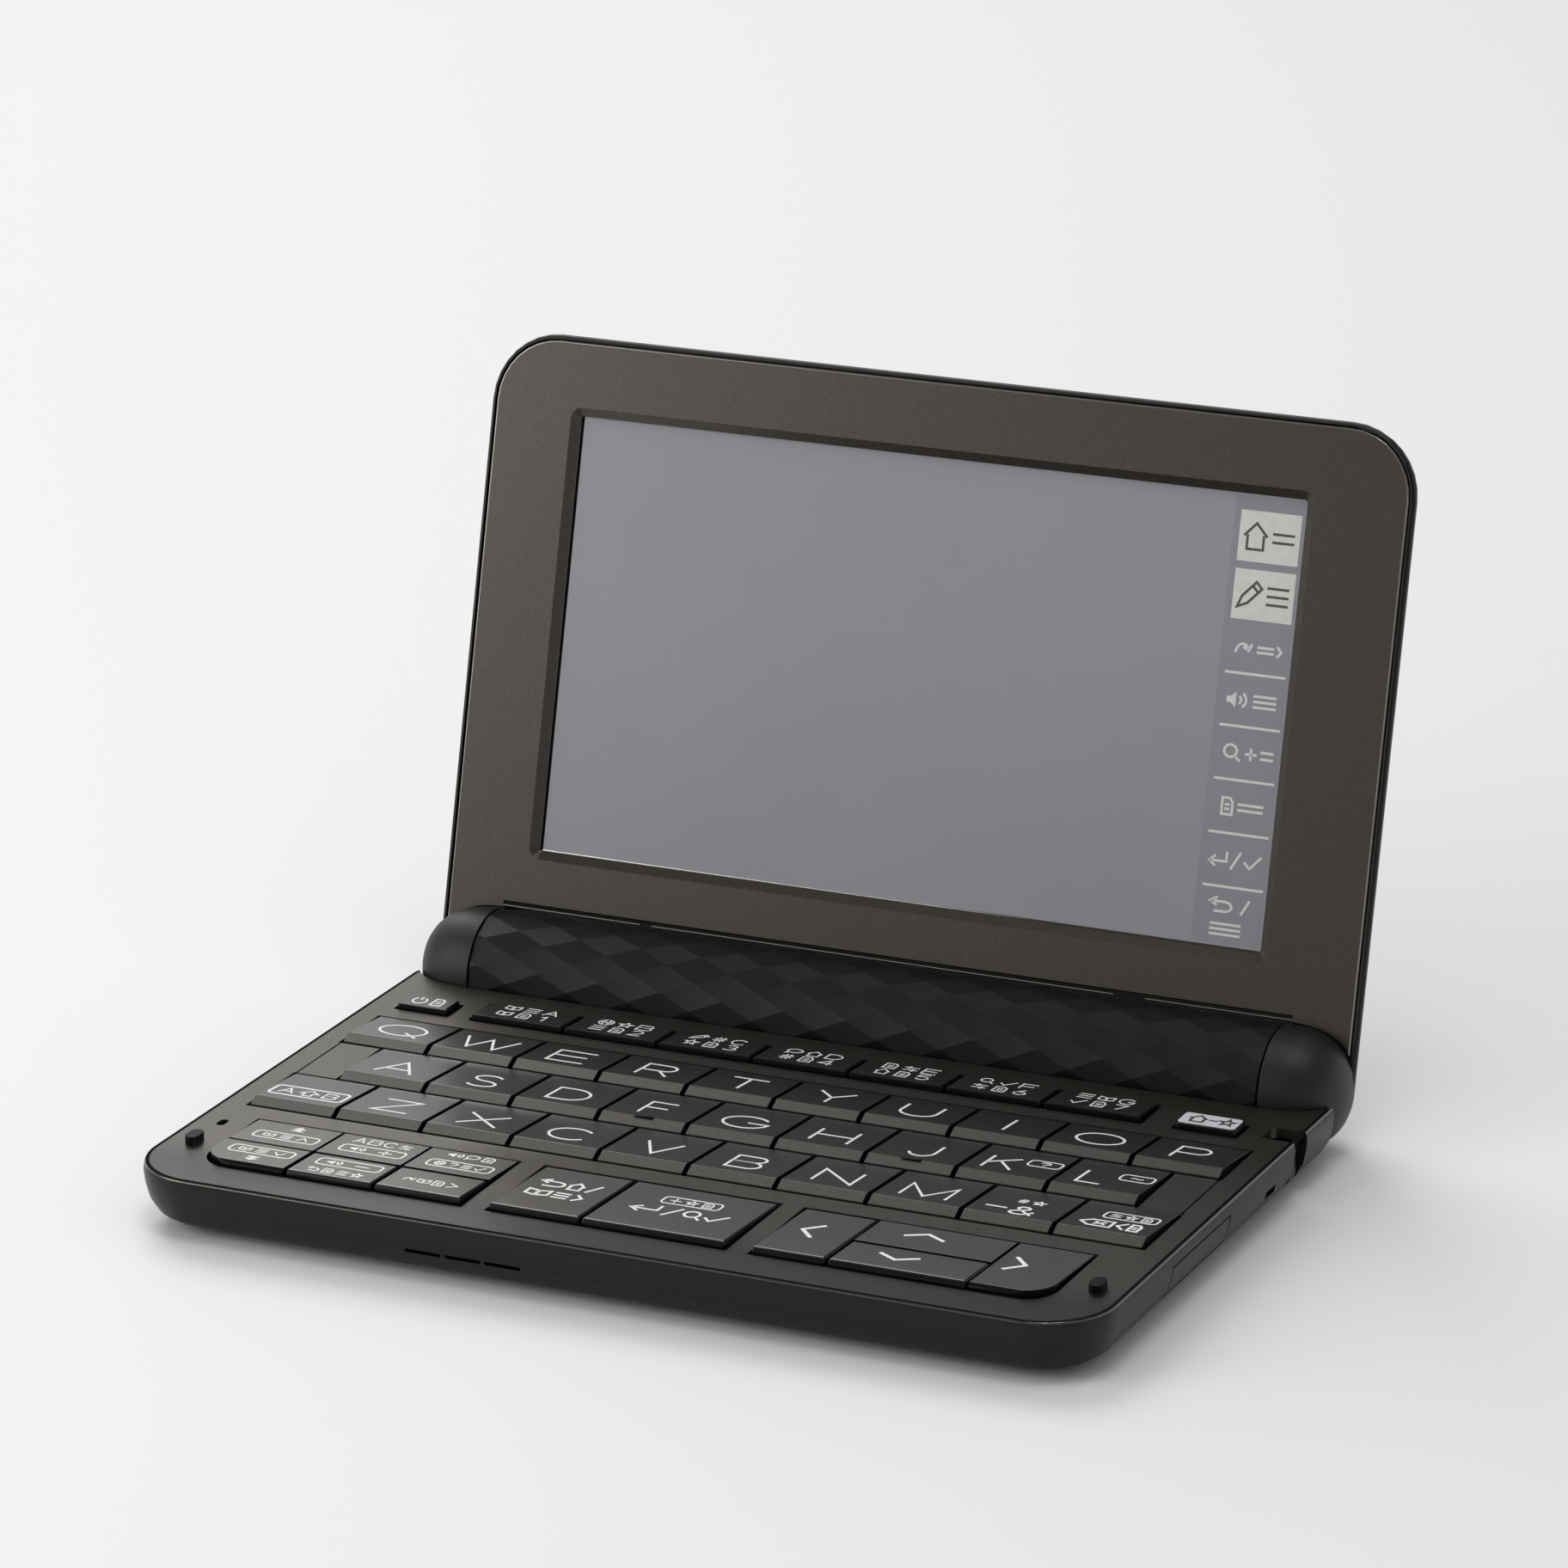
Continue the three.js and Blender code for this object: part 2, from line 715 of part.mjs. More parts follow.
function topCase() {
  const half = caseWidth / 2 - plateInset;
  const corner = caseCorner - plateInset;
  let body = extrudedAlongZ(roundedOutline(-half, half, plateInset, caseRear - plateInset,
    corner, corner, smallestCorner, smallestCorner), plateBottom, caseTop);
  for (const opening of keyOpenings()) body = body.subtract(opening);
  for (const groove of blankGrooves()) body = body.subtract(groove);
  for (const side of [-1, 1]) {
    const x = side * (caseWidth / 2 - pegFromSide);
    body = body.add(roundedBlock(x - pegWidth / 2, x + pegWidth / 2,
      pegFromFront - pegLength / 2, pegFromFront + pegLength / 2, pegWidth / 2,
      plateBottom + plateThickness / 2, caseTop + pegHeight));
  }
  const ovalX = pegFromSide - caseWidth / 2;
  const ovalY = pegFromFront + ovalBehindPeg;
  body = body.subtract(roundedBlock(ovalX - ovalWidth / 2, ovalX + ovalWidth / 2,
    ovalY - ovalLength / 2, ovalY + ovalLength / 2, ovalWidth / 2,
    plateBottom - overrun, caseTop + overrun));
  body = body.subtract(stylusNotch());
  body = body.subtract(atHinge(hingeEnvelope(hingeGap)));
  return piece("top_case", body, plastic(colours.plate, 0.45, 0.3));
}

// Key mat and circuit board

function keyMat() {
  const half = caseWidth / 2 - matSideInset;
  let body = box(-half, half, matFrontInset, upperKeysBack, matBottom, matTop);
  const bump = (x, y) => {
    body = body.add(rodAlongZ(bumpRadius, x, y, matBottom + matThickness / 2, bumpTop, bumpSides));
  };
  for (const [, left, right, front, back] of [...letterKeys, ...frontKeys]) {
    bump((left + right) / 2, (front + back) / 2);
  }
  const upperShares = [
    powerLeftShare + powerWidthShare / 2,
    ...categoryShares.slice(1).map((share) => share - categoryPitchShare / 2),
    homeLeftShare + homeWidthShare / 2,
  ];
  for (const share of upperShares) bump(along(share), (upperKeysFront + upperKeysBack) / 2);
  return piece("key_mat", body, plastic(colours.rubber, 0.9));
}

function circuitBoard() {
  const half = caseWidth / 2 - boardSideInset;
  let body = box(-half, half, boardFrontInset, boardRear, boardBottom, boardTop);
  body = body.add(connector(0));
  for (const share of chipShares) {
    const x = share * half;
    body = body.add(box(x - chipWidth / 2, x + chipWidth / 2, boardRear / 2 - chipWidth / 2,
      boardRear / 2 + chipWidth / 2, boardBottom - chipHeight, boardBottom + boardThickness / 2));
  }
  return piece("circuit_board", body, plastic(colours.board, 0.5));
}

// Stylus

function stylus() {
  const end = caseWidth / 2 - stylusHeadInset;
  const start = end - stylusLength;
  const body = turnedAlongX([
    [0, start],
    [stylusTipRadius, start],
    [stylusRadius, start + stylusTip],
    [stylusRadius, end - stylusHeadLength],
    [stylusHeadRadius, end - stylusHeadLength],
    [stylusHeadRadius, end],
    [0, end],
  ]).translate([0, stylusFromFront, stylusHeight]);
  return piece("stylus", body, plastic(colours.shell));
}

// Feet

function foot(name, front) {
  const half = caseWidth / 2 - footInset;
  const body = roundedBlock(-half, half, front, front + footWidth, footWidth / 2, 0, footHeight);
  return piece(name, body, plastic(colours.rubber, 0.9));
}

// Hinge barrel, with flat facets between staggered points on its round

// Corners of the diamonds lie on rows round the barrel, and each row is half a diamond off the last
function facetCorner(row, column) {
  const angle = facetTurn + (2 * Math.PI * row) / facetRows;
  const x = (column + (row % 2) / 2 - facetColumns / 2) * facetPitch + facetShift;
  return [x, barrelRadius * Math.cos(angle), barrelRadius * Math.sin(angle)];
}

// A closed rod of diamonds, each folded along the line between its lowest and highest corners
function facetedRod() {
  const perRow = facetColumns + 1;
  const positions = [];
  for (let row = 0; row < facetRows; row += 1) {
    for (let column = 0; column < perRow; column += 1) positions.push(...facetCorner(row, column));
  }
  const leftMiddle = facetRows * perRow;
  const rightMiddle = leftMiddle + 1;
  const reach = (facetColumns + 1) * facetPitch / 2;
  positions.push(-reach, 0, 0, reach, 0, 0);
  const corner = (row, column) => ((row + facetRows) % facetRows) * perRow + column;
  const faces = [];
  for (let row = 0; row < facetRows; row += 1) {
    const half = row % 2;
    for (let column = 0; column + half < facetColumns; column += 1) {
      const left = corner(row, column);
      const right = corner(row, column + 1);
      const low = corner(row - 1, column + half);
      const high = corner(row + 1, column + half);
      faces.push(left, high, low, right, low, high);
    }
    const next = (half + 1) % 2;
    faces.push(leftMiddle, corner(row + 1, 0), corner(row, 0));
    faces.push(rightMiddle, corner(row, facetColumns - half), corner(row + 1, facetColumns - next));
  }
  const geometry = new THREE.BufferGeometry();
  geometry.setAttribute("position", new THREE.Float32BufferAttribute(positions, 3));
  geometry.setIndex(faces);
  return solid(geometry);
}

function facetedBarrel() {
  const reach = 2 * barrelRadius;
  return facetedRod().intersect(box(-barrelEnd, barrelEnd, -reach, reach, -reach, reach));
}

// The wedge of space that the battery cover fills, between two angles about the barrel
function coverSector(grow) {
  const reach = 2 * barrelRadius;
  const coverEnd = cellLength + coverOverCells + grow;
  const growAngle = grow / barrelRadius;
  const low = coverLowAngle - growAngle;
  const high = coverHighAngle + growAngle;
  const middle = (low + high) / 2;
  const outline = [
    [0, 0],
    [reach * Math.cos(low), reach * Math.sin(low)],
    [reach * Math.cos(middle), reach * Math.sin(middle)],
    [reach * Math.cos(high), reach * Math.sin(high)],
  ];
  return extrudedAlongX(outline, -coverEnd, coverEnd);
}

function hingeBarrel() {
  const cavityEnd = cellLength + springRoom;
  let body = facetedBarrel();
  body = body.subtract(rodAlongX(cellRadius + cellGap, -cavityEnd, cavityEnd, cutSegments));
  body = body.subtract(coverSector(seamGap));
  for (const side of [-1, 1]) {
    const inner = side * (barrelEnd - pinSeatInBarrel - partGap);
    const outer = side * (barrelEnd + overrun);
    body = body.subtract(rodAlongX(pinRadius + partGap, Math.min(inner, outer), Math.max(inner, outer)));
  }
  return piece("hinge_barrel", atHinge(body), plastic(colours.barrel, 0.55));
}

function batteryCover() {
  const body = facetedBarrel().intersect(coverSector(0))
    .subtract(rodAlongX(barrelRadius - coverWall, -domeStart, domeStart, cutSegments));
  return piece("battery_cover", atHinge(body), plastic(colours.barrel, 0.55));
}

function batteryCells() {
  const cell = (start) => [
    [cellRadius - cellShoulder, start],
    [cellRadius, start + cellShoulder],
    [cellRadius, start + cellLength - cellNub - cellShoulder],
    [cellRadius - cellShoulder, start + cellLength - cellNub],
    [cellNubRadius, start + cellLength - cellNub],
    [cellNubRadius, start + cellLength],
  ];
  const profile = [[0, -cellLength], ...cell(-cellLength), ...cell(0), [0, cellLength]];
  const body = turnedAlongX(profile);
  return piece("battery_cells", atHinge(body), plastic(colours.cell, 0.4, 0.3));
}

function hingePin(name, side) {
  const inner = side * (barrelEnd - pinSeatInBarrel);
  const outer = side * (domeStart + pinSeatInDome);
  const body = rodAlongX(pinRadius, Math.min(inner, outer), Math.max(inner, outer));
  return piece(name, atHinge(body), plastic(colours.steel, 0.3, 1));
}

// Lid, closed about its hinge axis: Y runs back from the lid's front edge to the axis at zero

function lidRing(inset, z, rear = 0) {
  const corner = Math.max(lidCorner - inset, smallestCorner);
  const half = caseWidth / 2 - inset;
  return roundedOutline(
    -half, half, inset - lidLength, rear, corner, corner, smallestCorner, smallestCorner)
    .map(([x, y]) => [x, y, z]);
}

function lidOuterRings() {
  return lidEdgeShares.map(([depth, inset]) =>
    lidRing(lidTuckInset * inset, lidInnerOffset + lidThickness * depth));
}

function lidCavity() {
  const ledge = bezelBack + partGap;
  const floor = lidOuter - lidFloorThickness;
  const seat = lofted([
    lidRing(lidLipWidth, lidInnerOffset - overrun, -lidBottom - lidLipWidth),
    lidRing(lidLipWidth, ledge, -lidBottom - lidLipWidth),
  ]);
  const room = lofted([
    lidRing(lidWallInset, ledge - partGap, -cavityBottom),
    lidRing(lidFloorInset, floor, -cavityBottom),
  ]);
  return seat.add(room);
}

function lidBarrelCut(edge, sideGap) {
  return box(-domeStart - sideGap, domeStart + sideGap, -edge, overrun, -overrun, lidOuter + overrun);
}

function knuckleDome(side) {
  const profile = [[0, domeStart], ...domeProfile(0)];
  const points = side > 0 ? profile : profile.map(([radius, x]) => [radius, -x]).reverse();
  return turnedAlongX(points);
}

// The bezel also covers the cheeks beside the barrel, so its seat goes down to them
function cheekSeat() {
  const ledge = bezelBack + partGap;
  return lofted([
    lidRing(lidLipWidth, lidInnerOffset - overrun, -lidLipWidth),
    lidRing(lidLipWidth, ledge, -lidLipWidth),
  ]).subtract(lidBarrelCut(bezelNotchEdge, seamGap));
}

// Below its cavity the shell wraps round the barrel as a thin lip, so that no gap shows above it
function lidBackShell() {
  let body = lofted(lidOuterRings()).subtract(lidCavity()).subtract(cheekSeat());
  body = body.subtract(lidBarrelCut(lidLipEdge, 0));
  body = body.subtract(rodAlongX(lidBottom, -domeStart, domeStart, cutSegments));
  for (const side of [-1, 1]) {
    body = body.add(knuckleDome(side));
    const inner = side * (domeStart - overrun);
    const outer = side * (domeStart + pinSeatInDome + partGap);
    body = body.subtract(rodAlongX(pinRadius + partGap, Math.min(inner, outer), Math.max(inner, outer)));
  }
  return piece("lid_back_shell", body, plastic(colours.shell));
}

function bezelWindow() {
  const left = screenSideShift - screenWidth / 2;
  const right = screenSideShift + screenWidth / 2;
  const front = -screenBottom - screenHeight;
  const ring = (grow, z) => roundedOutline(left - grow, right + grow, front - grow, grow - screenBottom,
    smallestCorner + grow, smallestCorner + grow, smallestCorner + grow, smallestCorner + grow)
    .map(([x, y]) => [x, y, z]);
  return lofted([
    ring(windowBevel + overrun, lidInnerOffset - overrun * (bezelThickness / windowBevel)),
    ring(windowBevel, lidInnerOffset),
    ring(0, bezelBack),
    ring(0, bezelBack + overrun),
  ]);
}

function lidBezel() {
  let body = lofted([
    lidRing(bezelInset, lidInnerOffset, -bezelInset),
    lidRing(bezelInset, bezelBack, -bezelInset),
  ]);
  body = body.subtract(bezelWindow());
  body = body.subtract(lidBarrelCut(bezelNotchEdge, seamGap));
  body = body.subtract(hingeEnvelope(partGap));
  return piece("lid_bezel", body, plastic(colours.plate, 0.45, 0.3));
}

function displayPanel() {
  const top = bezelBack + partGap;
  const body = box(
    screenSideShift - screenWidth / 2 - panelMargin, screenSideShift + screenWidth / 2 + panelMargin,
    -screenBottom - screenHeight - panelMargin, panelMargin - screenBottom, top, top + panelThickness);
  return piece("display_panel", body, plastic(colours.screen, 0.35));
}

// Assembly

const base = new THREE.Group();
base.add(bottomCase(), topCase(), portCover(), hingeBarrel(), batteryCover(), batteryCells());
base.add(hingePin("hinge_pin_left", -1), hingePin("hinge_pin_right", 1));
base.add(keyMat(), circuitBoard(), stylus());
base.add(foot("front_foot", footFromFront), foot("rear_foot", caseRear - footFromRear - footWidth));
for (const key of letterKeys) base.add(letterKey(key));
for (const key of frontKeys) base.add(frontKey(key));
for (const key of upperKeys) base.add(upperKey(key));

const lid = new THREE.Group();
lid.add(lidBackShell(), lidBezel(), displayPanel());
lid.position.set(0, hingeFromFront, hingeHeight);
lid.rotation.x = -lidAngle;

const dictionary = new THREE.Group();
dictionary.add(base, lid);
dictionary.updateMatrixWorld(true);
const bounds = new THREE.Box3().setFromObject(dictionary, true);
const centre = bounds.getCenter(new THREE.Vector3());
dictionary.position.set(-centre.x, -centre.y, -bounds.min.z);

export default dictionary;
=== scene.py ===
# Looks of the electronic dictionary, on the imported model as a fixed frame.
# Metres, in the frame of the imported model: +X to the user's right, +Y to the hinge, +Z up.

import json
import math

import bmesh
import bpy
from mathutils import Matrix, Vector

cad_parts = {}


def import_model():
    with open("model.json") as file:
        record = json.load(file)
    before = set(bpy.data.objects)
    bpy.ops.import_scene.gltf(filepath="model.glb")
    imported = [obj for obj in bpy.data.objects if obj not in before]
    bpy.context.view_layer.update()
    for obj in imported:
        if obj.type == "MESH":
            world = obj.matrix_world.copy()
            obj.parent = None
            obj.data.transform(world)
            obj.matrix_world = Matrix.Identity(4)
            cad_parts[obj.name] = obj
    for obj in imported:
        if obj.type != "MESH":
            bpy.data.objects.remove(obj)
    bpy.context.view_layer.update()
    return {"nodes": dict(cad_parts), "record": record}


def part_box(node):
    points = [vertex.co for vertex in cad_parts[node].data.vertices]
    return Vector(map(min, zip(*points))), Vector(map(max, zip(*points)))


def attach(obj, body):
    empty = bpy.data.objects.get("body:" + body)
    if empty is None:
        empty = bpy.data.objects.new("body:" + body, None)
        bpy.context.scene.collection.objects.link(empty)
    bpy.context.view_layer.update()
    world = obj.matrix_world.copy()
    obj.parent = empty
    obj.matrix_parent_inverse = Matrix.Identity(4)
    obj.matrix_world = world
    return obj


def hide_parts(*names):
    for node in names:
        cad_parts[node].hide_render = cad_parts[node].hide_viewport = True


MM = 0.001

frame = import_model()

# Places from the frame
CASE_LOW, CASE_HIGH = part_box("bottom_case")
CASE_FRONT = CASE_LOW.y
CASE_TOP = CASE_HIGH.z
FRONT_KEYS_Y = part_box("return_key")[0].y
PIN_LOW, PIN_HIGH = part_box("hinge_pin_right")
HINGE = Vector((0, (PIN_LOW.y + PIN_HIGH.y) / 2, (PIN_LOW.z + PIN_HIGH.z) / 2))

# Camera: the photograph's viewing angle
CAMERA_AZIMUTH = math.radians(25.255)
CAMERA_ELEVATION = math.radians(18.366)
CAMERA_ROLL = math.radians(-0.668)
CAMERA_DISTANCE = 1032.2 * MM
CAMERA_LENS = 167.63
CAMERA_SENSOR = 36
CAMERA_TARGET = Vector((2.17 * MM, CASE_FRONT + 60.2 * MM, 58.15 * MM))
CAMERA_NEAR = 0.05
CAMERA_FAR = 20

# Light: strengths of the surroundings
AMBIENT = 0.54
LEVEL_GLOW = 1.0
OVERHEAD_GLOW = 0.26
FRONT_GLOW_SHARE = 0.52
# Heights of a direction, from 0 level to 1 overhead, between which the glow fades
GLOW_FADE_START = 0.14
GLOW_FADE_END = 0.5
# How far a direction points back, from -1 at the front to 1 at the back, where the glow grows
BACK_GLOW_START = -0.6
BACK_GLOW_END = 0.4
# Lamps: name, place and size in metres, and power in watts
LAMPS = (
    ("soft_box_back", (-0.8, 0.8, 1.1), 0.9, 10),
    ("soft_box_left", (-0.48, -0.4, 0.3), 0.35, 1.3),
    ("soft_box_top", (0.15, -0.15, 1.4), 0.55, 4.2),
)
LAMP_TARGET = Vector((0, 0, 40 * MM))
FLOOR_COLOUR = (0.76, 0.76, 0.755)
FLOOR_SIZE = 6

# Surfaces: the height of their grain, and how far flakes are from a lacquer's tone
COARSE_GRAIN = 0.03 * MM
FINE_GRAIN = 0.012 * MM
FILM_GRAIN = 0.004 * MM
FLAKE_SHARE = 0.25

# Edges: how sharp one is that gets rounded, how sharp one is that stays crisp in shading, the width
# of small rounds, and the steps of a wide one
EDGE_ANGLE = math.radians(20)
NODE_EDGE_ANGLE = math.radians(25)
BARREL_EDGE_ANGLE = math.radians(10)
PLATE_EDGE_ANGLE = math.radians(40)
BEAD_EDGE_ANGLE = math.radians(60)
SMOOTH_ANGLE = math.radians(30)
KEY_SMOOTH_ANGLE = math.radians(15)
BARREL_SMOOTH_ANGLE = math.radians(9)
FLAT_ANGLE = math.radians(0.5)
WELD_DISTANCE = 0.001 * MM
SMALL_EDGE = 0.1 * MM
BARREL_EDGE = 0.06 * MM
WIDE_SEGMENTS = 3

# Rims of the case and the lid: their round, and how near the rim's level an edge of it lies
RIM_ROUND = 0.3 * MM
RIM_NEAR = 0.05 * MM

# How far a face's normal points one way, from 0 square to that way to 1 straight along it
SIDE_NORMAL = 0.8
UNDER_NORMAL = 0.3
TOP_NORMAL = 0.98
RIM_NORMAL = 0.5
RIM_LEAST = 0.2
RIM_MOST = 0.98

# Letter keys, and the raised bars on two of them
KEY_GAP = 0.45 * MM
KEY_BEVEL_RUN = 1.7 * MM
KEY_BEVEL_FOOT = 0.15 * MM
KEY_BACK_RISE = 0.05 * MM
KEY_EDGE = 0.05 * MM
KEY_SIDE_ROOM = 0.15 * MM
BAR_HALF_LENGTH = 1.5 * MM
BAR_HALF_DEPTH = 0.28 * MM
BAR_SINK = 0.25 * MM
BAR_RISE = 0.22 * MM

# Front, category and home keys
FRONT_KEY_ROUND = 0.5 * MM
FRONT_KEY_EDGE = 0.34 * MM
REAR_KEY_EDGE = 0.05 * MM
CATEGORY_COUNT = 7
CATEGORY_GAP = 0.5 * MM
CATEGORY_BACK_RISE = 0.35 * MM
HOME_RIM = 0.3 * MM
HOME_PLATE_RISE = 0.12 * MM
HOME_PLATE_EDGE = 0.05 * MM
HOME_CORNER = 0.5 * MM

# Top plate: the dark joint round it, its pegs, and painted shade on its lacquer along the front
SEAM_GAP = 0.5 * MM
SEAM_DEPTH = 0.5 * MM
SEAM_RISE = 0.012 * MM
PLATE_CORNER = 9.75 * MM
PEG_LEAST_RISE = 0.05 * MM
FRONT_SHADE_SHARE = 0.3
SHADE_FADE = 8 * MM

# Lid: its directions away from the hinge axis, and how far its faces lie behind that axis
LID_ANGLE = math.radians(105)
LID_ALONG = Vector((0, -math.cos(LID_ANGLE), math.sin(LID_ANGLE)))
LID_INWARD = Vector((0, math.sin(LID_ANGLE), math.cos(LID_ANGLE)))
LID_FRONT_DEPTH = 1.7 * MM
LID_DISPLAY_DEPTH = 2.9 * MM
LID_MIDDLE = 50 * MM

# Window: its sides from the lid's middle and from the hinge axis, and its bevel
WINDOW_LEFT = -59.3 * MM
WINDOW_RIGHT = 57.7 * MM
WINDOW_LOW = 18.3 * MM
WINDOW_HIGH = 84.3 * MM
WINDOW_BEVEL = 1.5 * MM
WINDOW_LINE_WIDTH = 0.5 * MM

# Bead under the window: its size, and where right of the middle its painted highlight starts and ends
# to fade
BEAD_WIDTH = 0.28 * MM
BEAD_RISE = 0.2 * MM
BEAD_EDGE = BEAD_WIDTH / 3
BEAD_FADE_START = 6 * MM
BEAD_FADE_END = 22 * MM

# The lid's lip round the barrel, and the painted highlight line along it in three lengths
LIP_TOP = 13.2 * MM
LIP_DEPTH = 4.5 * MM
LIP_LINE_ABOVE_AXIS = 9.5 * MM
LIP_LINE_RISE = 1.2 * MM
LIP_LINE_WIDTH = 0.12 * MM
LIP_LINE_SPANS = ((-64 * MM, -41 * MM), (-39 * MM, 36 * MM), (41 * MM, 64 * MM))

# Screws in the underside
SCREW_RADIUS = 1.9 * MM
SCREW_STEPS = 24
SCREW_RISE = 0.15 * MM
SCREW_SINK = 0.3 * MM
SCREW_SLOT = 1.1 * MM
SCREW_SLOT_WIDTH = 0.5 * MM
SCREW_FROM_SIDE = 12 * MM
SCREW_FROM_FRONT = 14 * MM
SCREW_BEFORE_STYLUS = 11 * MM

# Printed marks: their heights over and under a face, and their stroke widths
INK_RISE = 0.02 * MM
INK_SINK = 0.01 * MM
COLUMN_RISE = 0.008 * MM
LETTER_STROKE = 0.42 * MM
SIGN_STROKE = 0.45 * MM
MARK_STROKE = 0.29 * MM
SMALL_STROKE = 0.25 * MM
LABEL_STROKE = 0.38 * MM
CHEVRON_STROKE = 0.6 * MM
MITRE_LIMIT = 0.4

# Letters and labels
LETTER_HEIGHT = 5.4 * MM
LETTER_BEHIND_FRONT = 6.6 * MM
LABELLED_LETTER_SHIFT = -2 * MM
LABEL_HEIGHT = 2.7 * MM
SHIFT_LABEL_HEIGHT = 4.1 * MM
LABEL_CORNER = 0.75 * MM
CORNER_STEPS = 5

# Column of labels at the display's right: its middle from the lid's middle, its ground and its
# labels about that middle, and heights above the window's lower side
COLUMN_MIDDLE = 52.3 * MM
COLUMN_LEFT = -5.7 * MM
COLUMN_RIGHT = 4.9 * MM
COLUMN_LOW = 0.6 * MM
COLUMN_HIGH = 65.6 * MM
LABEL_HALF_WIDTH = 4.7 * MM
SQUARE_LABEL_ENDS = ((47.8 * MM, 55.1 * MM), (56.2 * MM, 63.6 * MM))
SEPARATOR_HEIGHTS = (8.9 * MM, 16.7 * MM, 24.5 * MM, 32.3 * MM, 40 * MM)

LETTER_KEYS = [f"key_{letter}" for letter in "qwertyuiopasdfghjklzxcvbnm"]
BAR_KEYS = ["key_f", "key_j"]
FRONT_KEYS = [
    "previous_key", "next_key", "volume_up_key", "volume_down_key", "guide_key", "jump_key",
    "return_key", "enter_key",
    "cursor_left_key", "cursor_up_key", "cursor_down_key", "cursor_right_key",
]


# Materials

def material(name, colour, roughness, metallic=0.0, specular=0.5, coat=0.0, coat_roughness=0.1):
    """A material whose plain values are set on the shader's own sockets."""
    made = bpy.data.materials.new(name)
    made.use_nodes = True
    set_inputs(shader_of(made), {
        "Base Color": (*colour, 1),
        "Roughness": roughness,
        "Metallic": metallic,
        "Specular IOR Level": specular,
        "Coat Weight": coat,
        "Coat Roughness": coat_roughness,
    })
    return made


def shader_of(made):
    return made.node_tree.nodes["Principled BSDF"]


def set_inputs(found, values):
    for name, value in values.items():
        found.inputs[name.replace("_", " ")].default_value = value


def node(made, kind, **values):
    """Adds a node to a material or the surroundings and sets its inputs by name."""
    added = made.node_tree.nodes.new(f"ShaderNode{kind}")
    set_inputs(added, values)
    return added


def operation(made, kind, name):
    """Adds a node that does the named calculation."""
    added = node(made, kind)
    added.operation = name
    return added


def link(made, source, output, target, socket):
    made.node_tree.links.new(source.outputs[output], target.inputs[socket])


def noise(made, scale, detail=2.0):
    """A noise in object space; scale is in cells per metre."""
    place = node(made, "TexCoord")
    cells = node(made, "TexNoise", Scale=scale, Detail=detail)
    link(made, place, "Object", cells, "Vector")
    return cells


def grain(made, scale, height, strength):
    """A fine moulded grain as bump."""
    cells = noise(made, scale)
    bump = node(made, "Bump", Strength=strength, Distance=height)
    link(made, cells, "Fac", bump, "Height")
    link(made, bump, "Normal", shader_of(made), "Normal")


def tones(made, source, output, first, last):
    """Colours the base by a value, from one tone at 0 to another at 1."""
    ramp = node(made, "ValToRGB")
    ramp.color_ramp.elements[0].color = (*first, 1)
    ramp.color_ramp.elements[1].color = (*last, 1)
    link(made, source, output, ramp, "Fac")
    link(made, ramp, "Color", shader_of(made), "Base Color")
    return ramp


def mottle(made, scale, dark, light, spread=0.15):
    """Varies the base colour between two close tones."""
    ramp = tones(made, noise(made, scale), "Fac", dark, light)
    ramp.color_ramp.elements[0].position = 0.5 - spread
    ramp.color_ramp.elements[1].position = 0.5 + spread


def roughness_spread(made, scale, low, high):
    """Varies the roughness, as handling does."""
    cells = noise(made, scale, 3.0)
    spread = node(made, "MapRange", To_Min=low, To_Max=high)
    link(made, cells, "Fac", spread, "Value")
    link(made, spread, "Result", shader_of(made), "Roughness")


def fade_along(made, space, axis, start, stop, first=0.0, last=1.0):
    """A value that changes from first to last between two places along an axis."""
    place = node(made, "TexCoord")
    split = node(made, "SeparateXYZ")
    link(made, place, space, split, "Vector")
    fade = node(made, "MapRange", From_Min=start, From_Max=stop, To_Min=first, To_Max=last)
    link(made, split, axis, fade, "Value")
    return fade


def shell_plastic(name, roughness, specular):
    made = material(name, (0.006, 0.0057, 0.005), roughness, specular=specular)
    mottle(made, 2600, (0.0053, 0.005, 0.0044), (0.0067, 0.0064, 0.0056))
    grain(made, 3400, COARSE_GRAIN, 0.7)
    return made


def barrel_plastic():
    made = material("barrel_plastic", (0.004, 0.0039, 0.0034), 0.44, specular=0.3)
    mottle(made, 2600, (0.0034, 0.0033, 0.0028), (0.0046, 0.0045, 0.004))
    grain(made, 4200, FINE_GRAIN, 0.5)
    return made


def lacquer(name, tone, roughness=0.42, coat=0.35, coat_roughness=0.25):
    """Metallic lacquer: flakes of a little lighter and darker tones under a satin coat."""
    made = material(name, tone, roughness, 0.8, coat=coat, coat_roughness=coat_roughness)
    dark = [(1 - FLAKE_SHARE) * value for value in tone]
    light = [(1 + FLAKE_SHARE) * value for value in tone]
    mottle(made, 6500, dark, light)
    grain(made, 6500, FINE_GRAIN, 0.5)
    return made


def plate_paint():
    """The plate's lacquer, with painted shade that darkens it along the front edge."""
    made = lacquer("plate_paint", (0.054, 0.0475, 0.039))
    flakes = shader_of(made).inputs["Base Color"].links[0].from_node
    # Painted shade: the flakes' colour is scaled down towards the front edge
    shade = fade_along(made, "Object", "Y", FRONT_KEYS_Y, FRONT_KEYS_Y + SHADE_FADE, FRONT_SHADE_SHARE)
    shaded = operation(made, "VectorMath", "SCALE")
    link(made, flakes, "Color", shaded, "Vector")
    link(made, shade, "Result", shaded, "Scale")
    link(made, shaded, "Vector", shader_of(made), "Base Color")
    return made


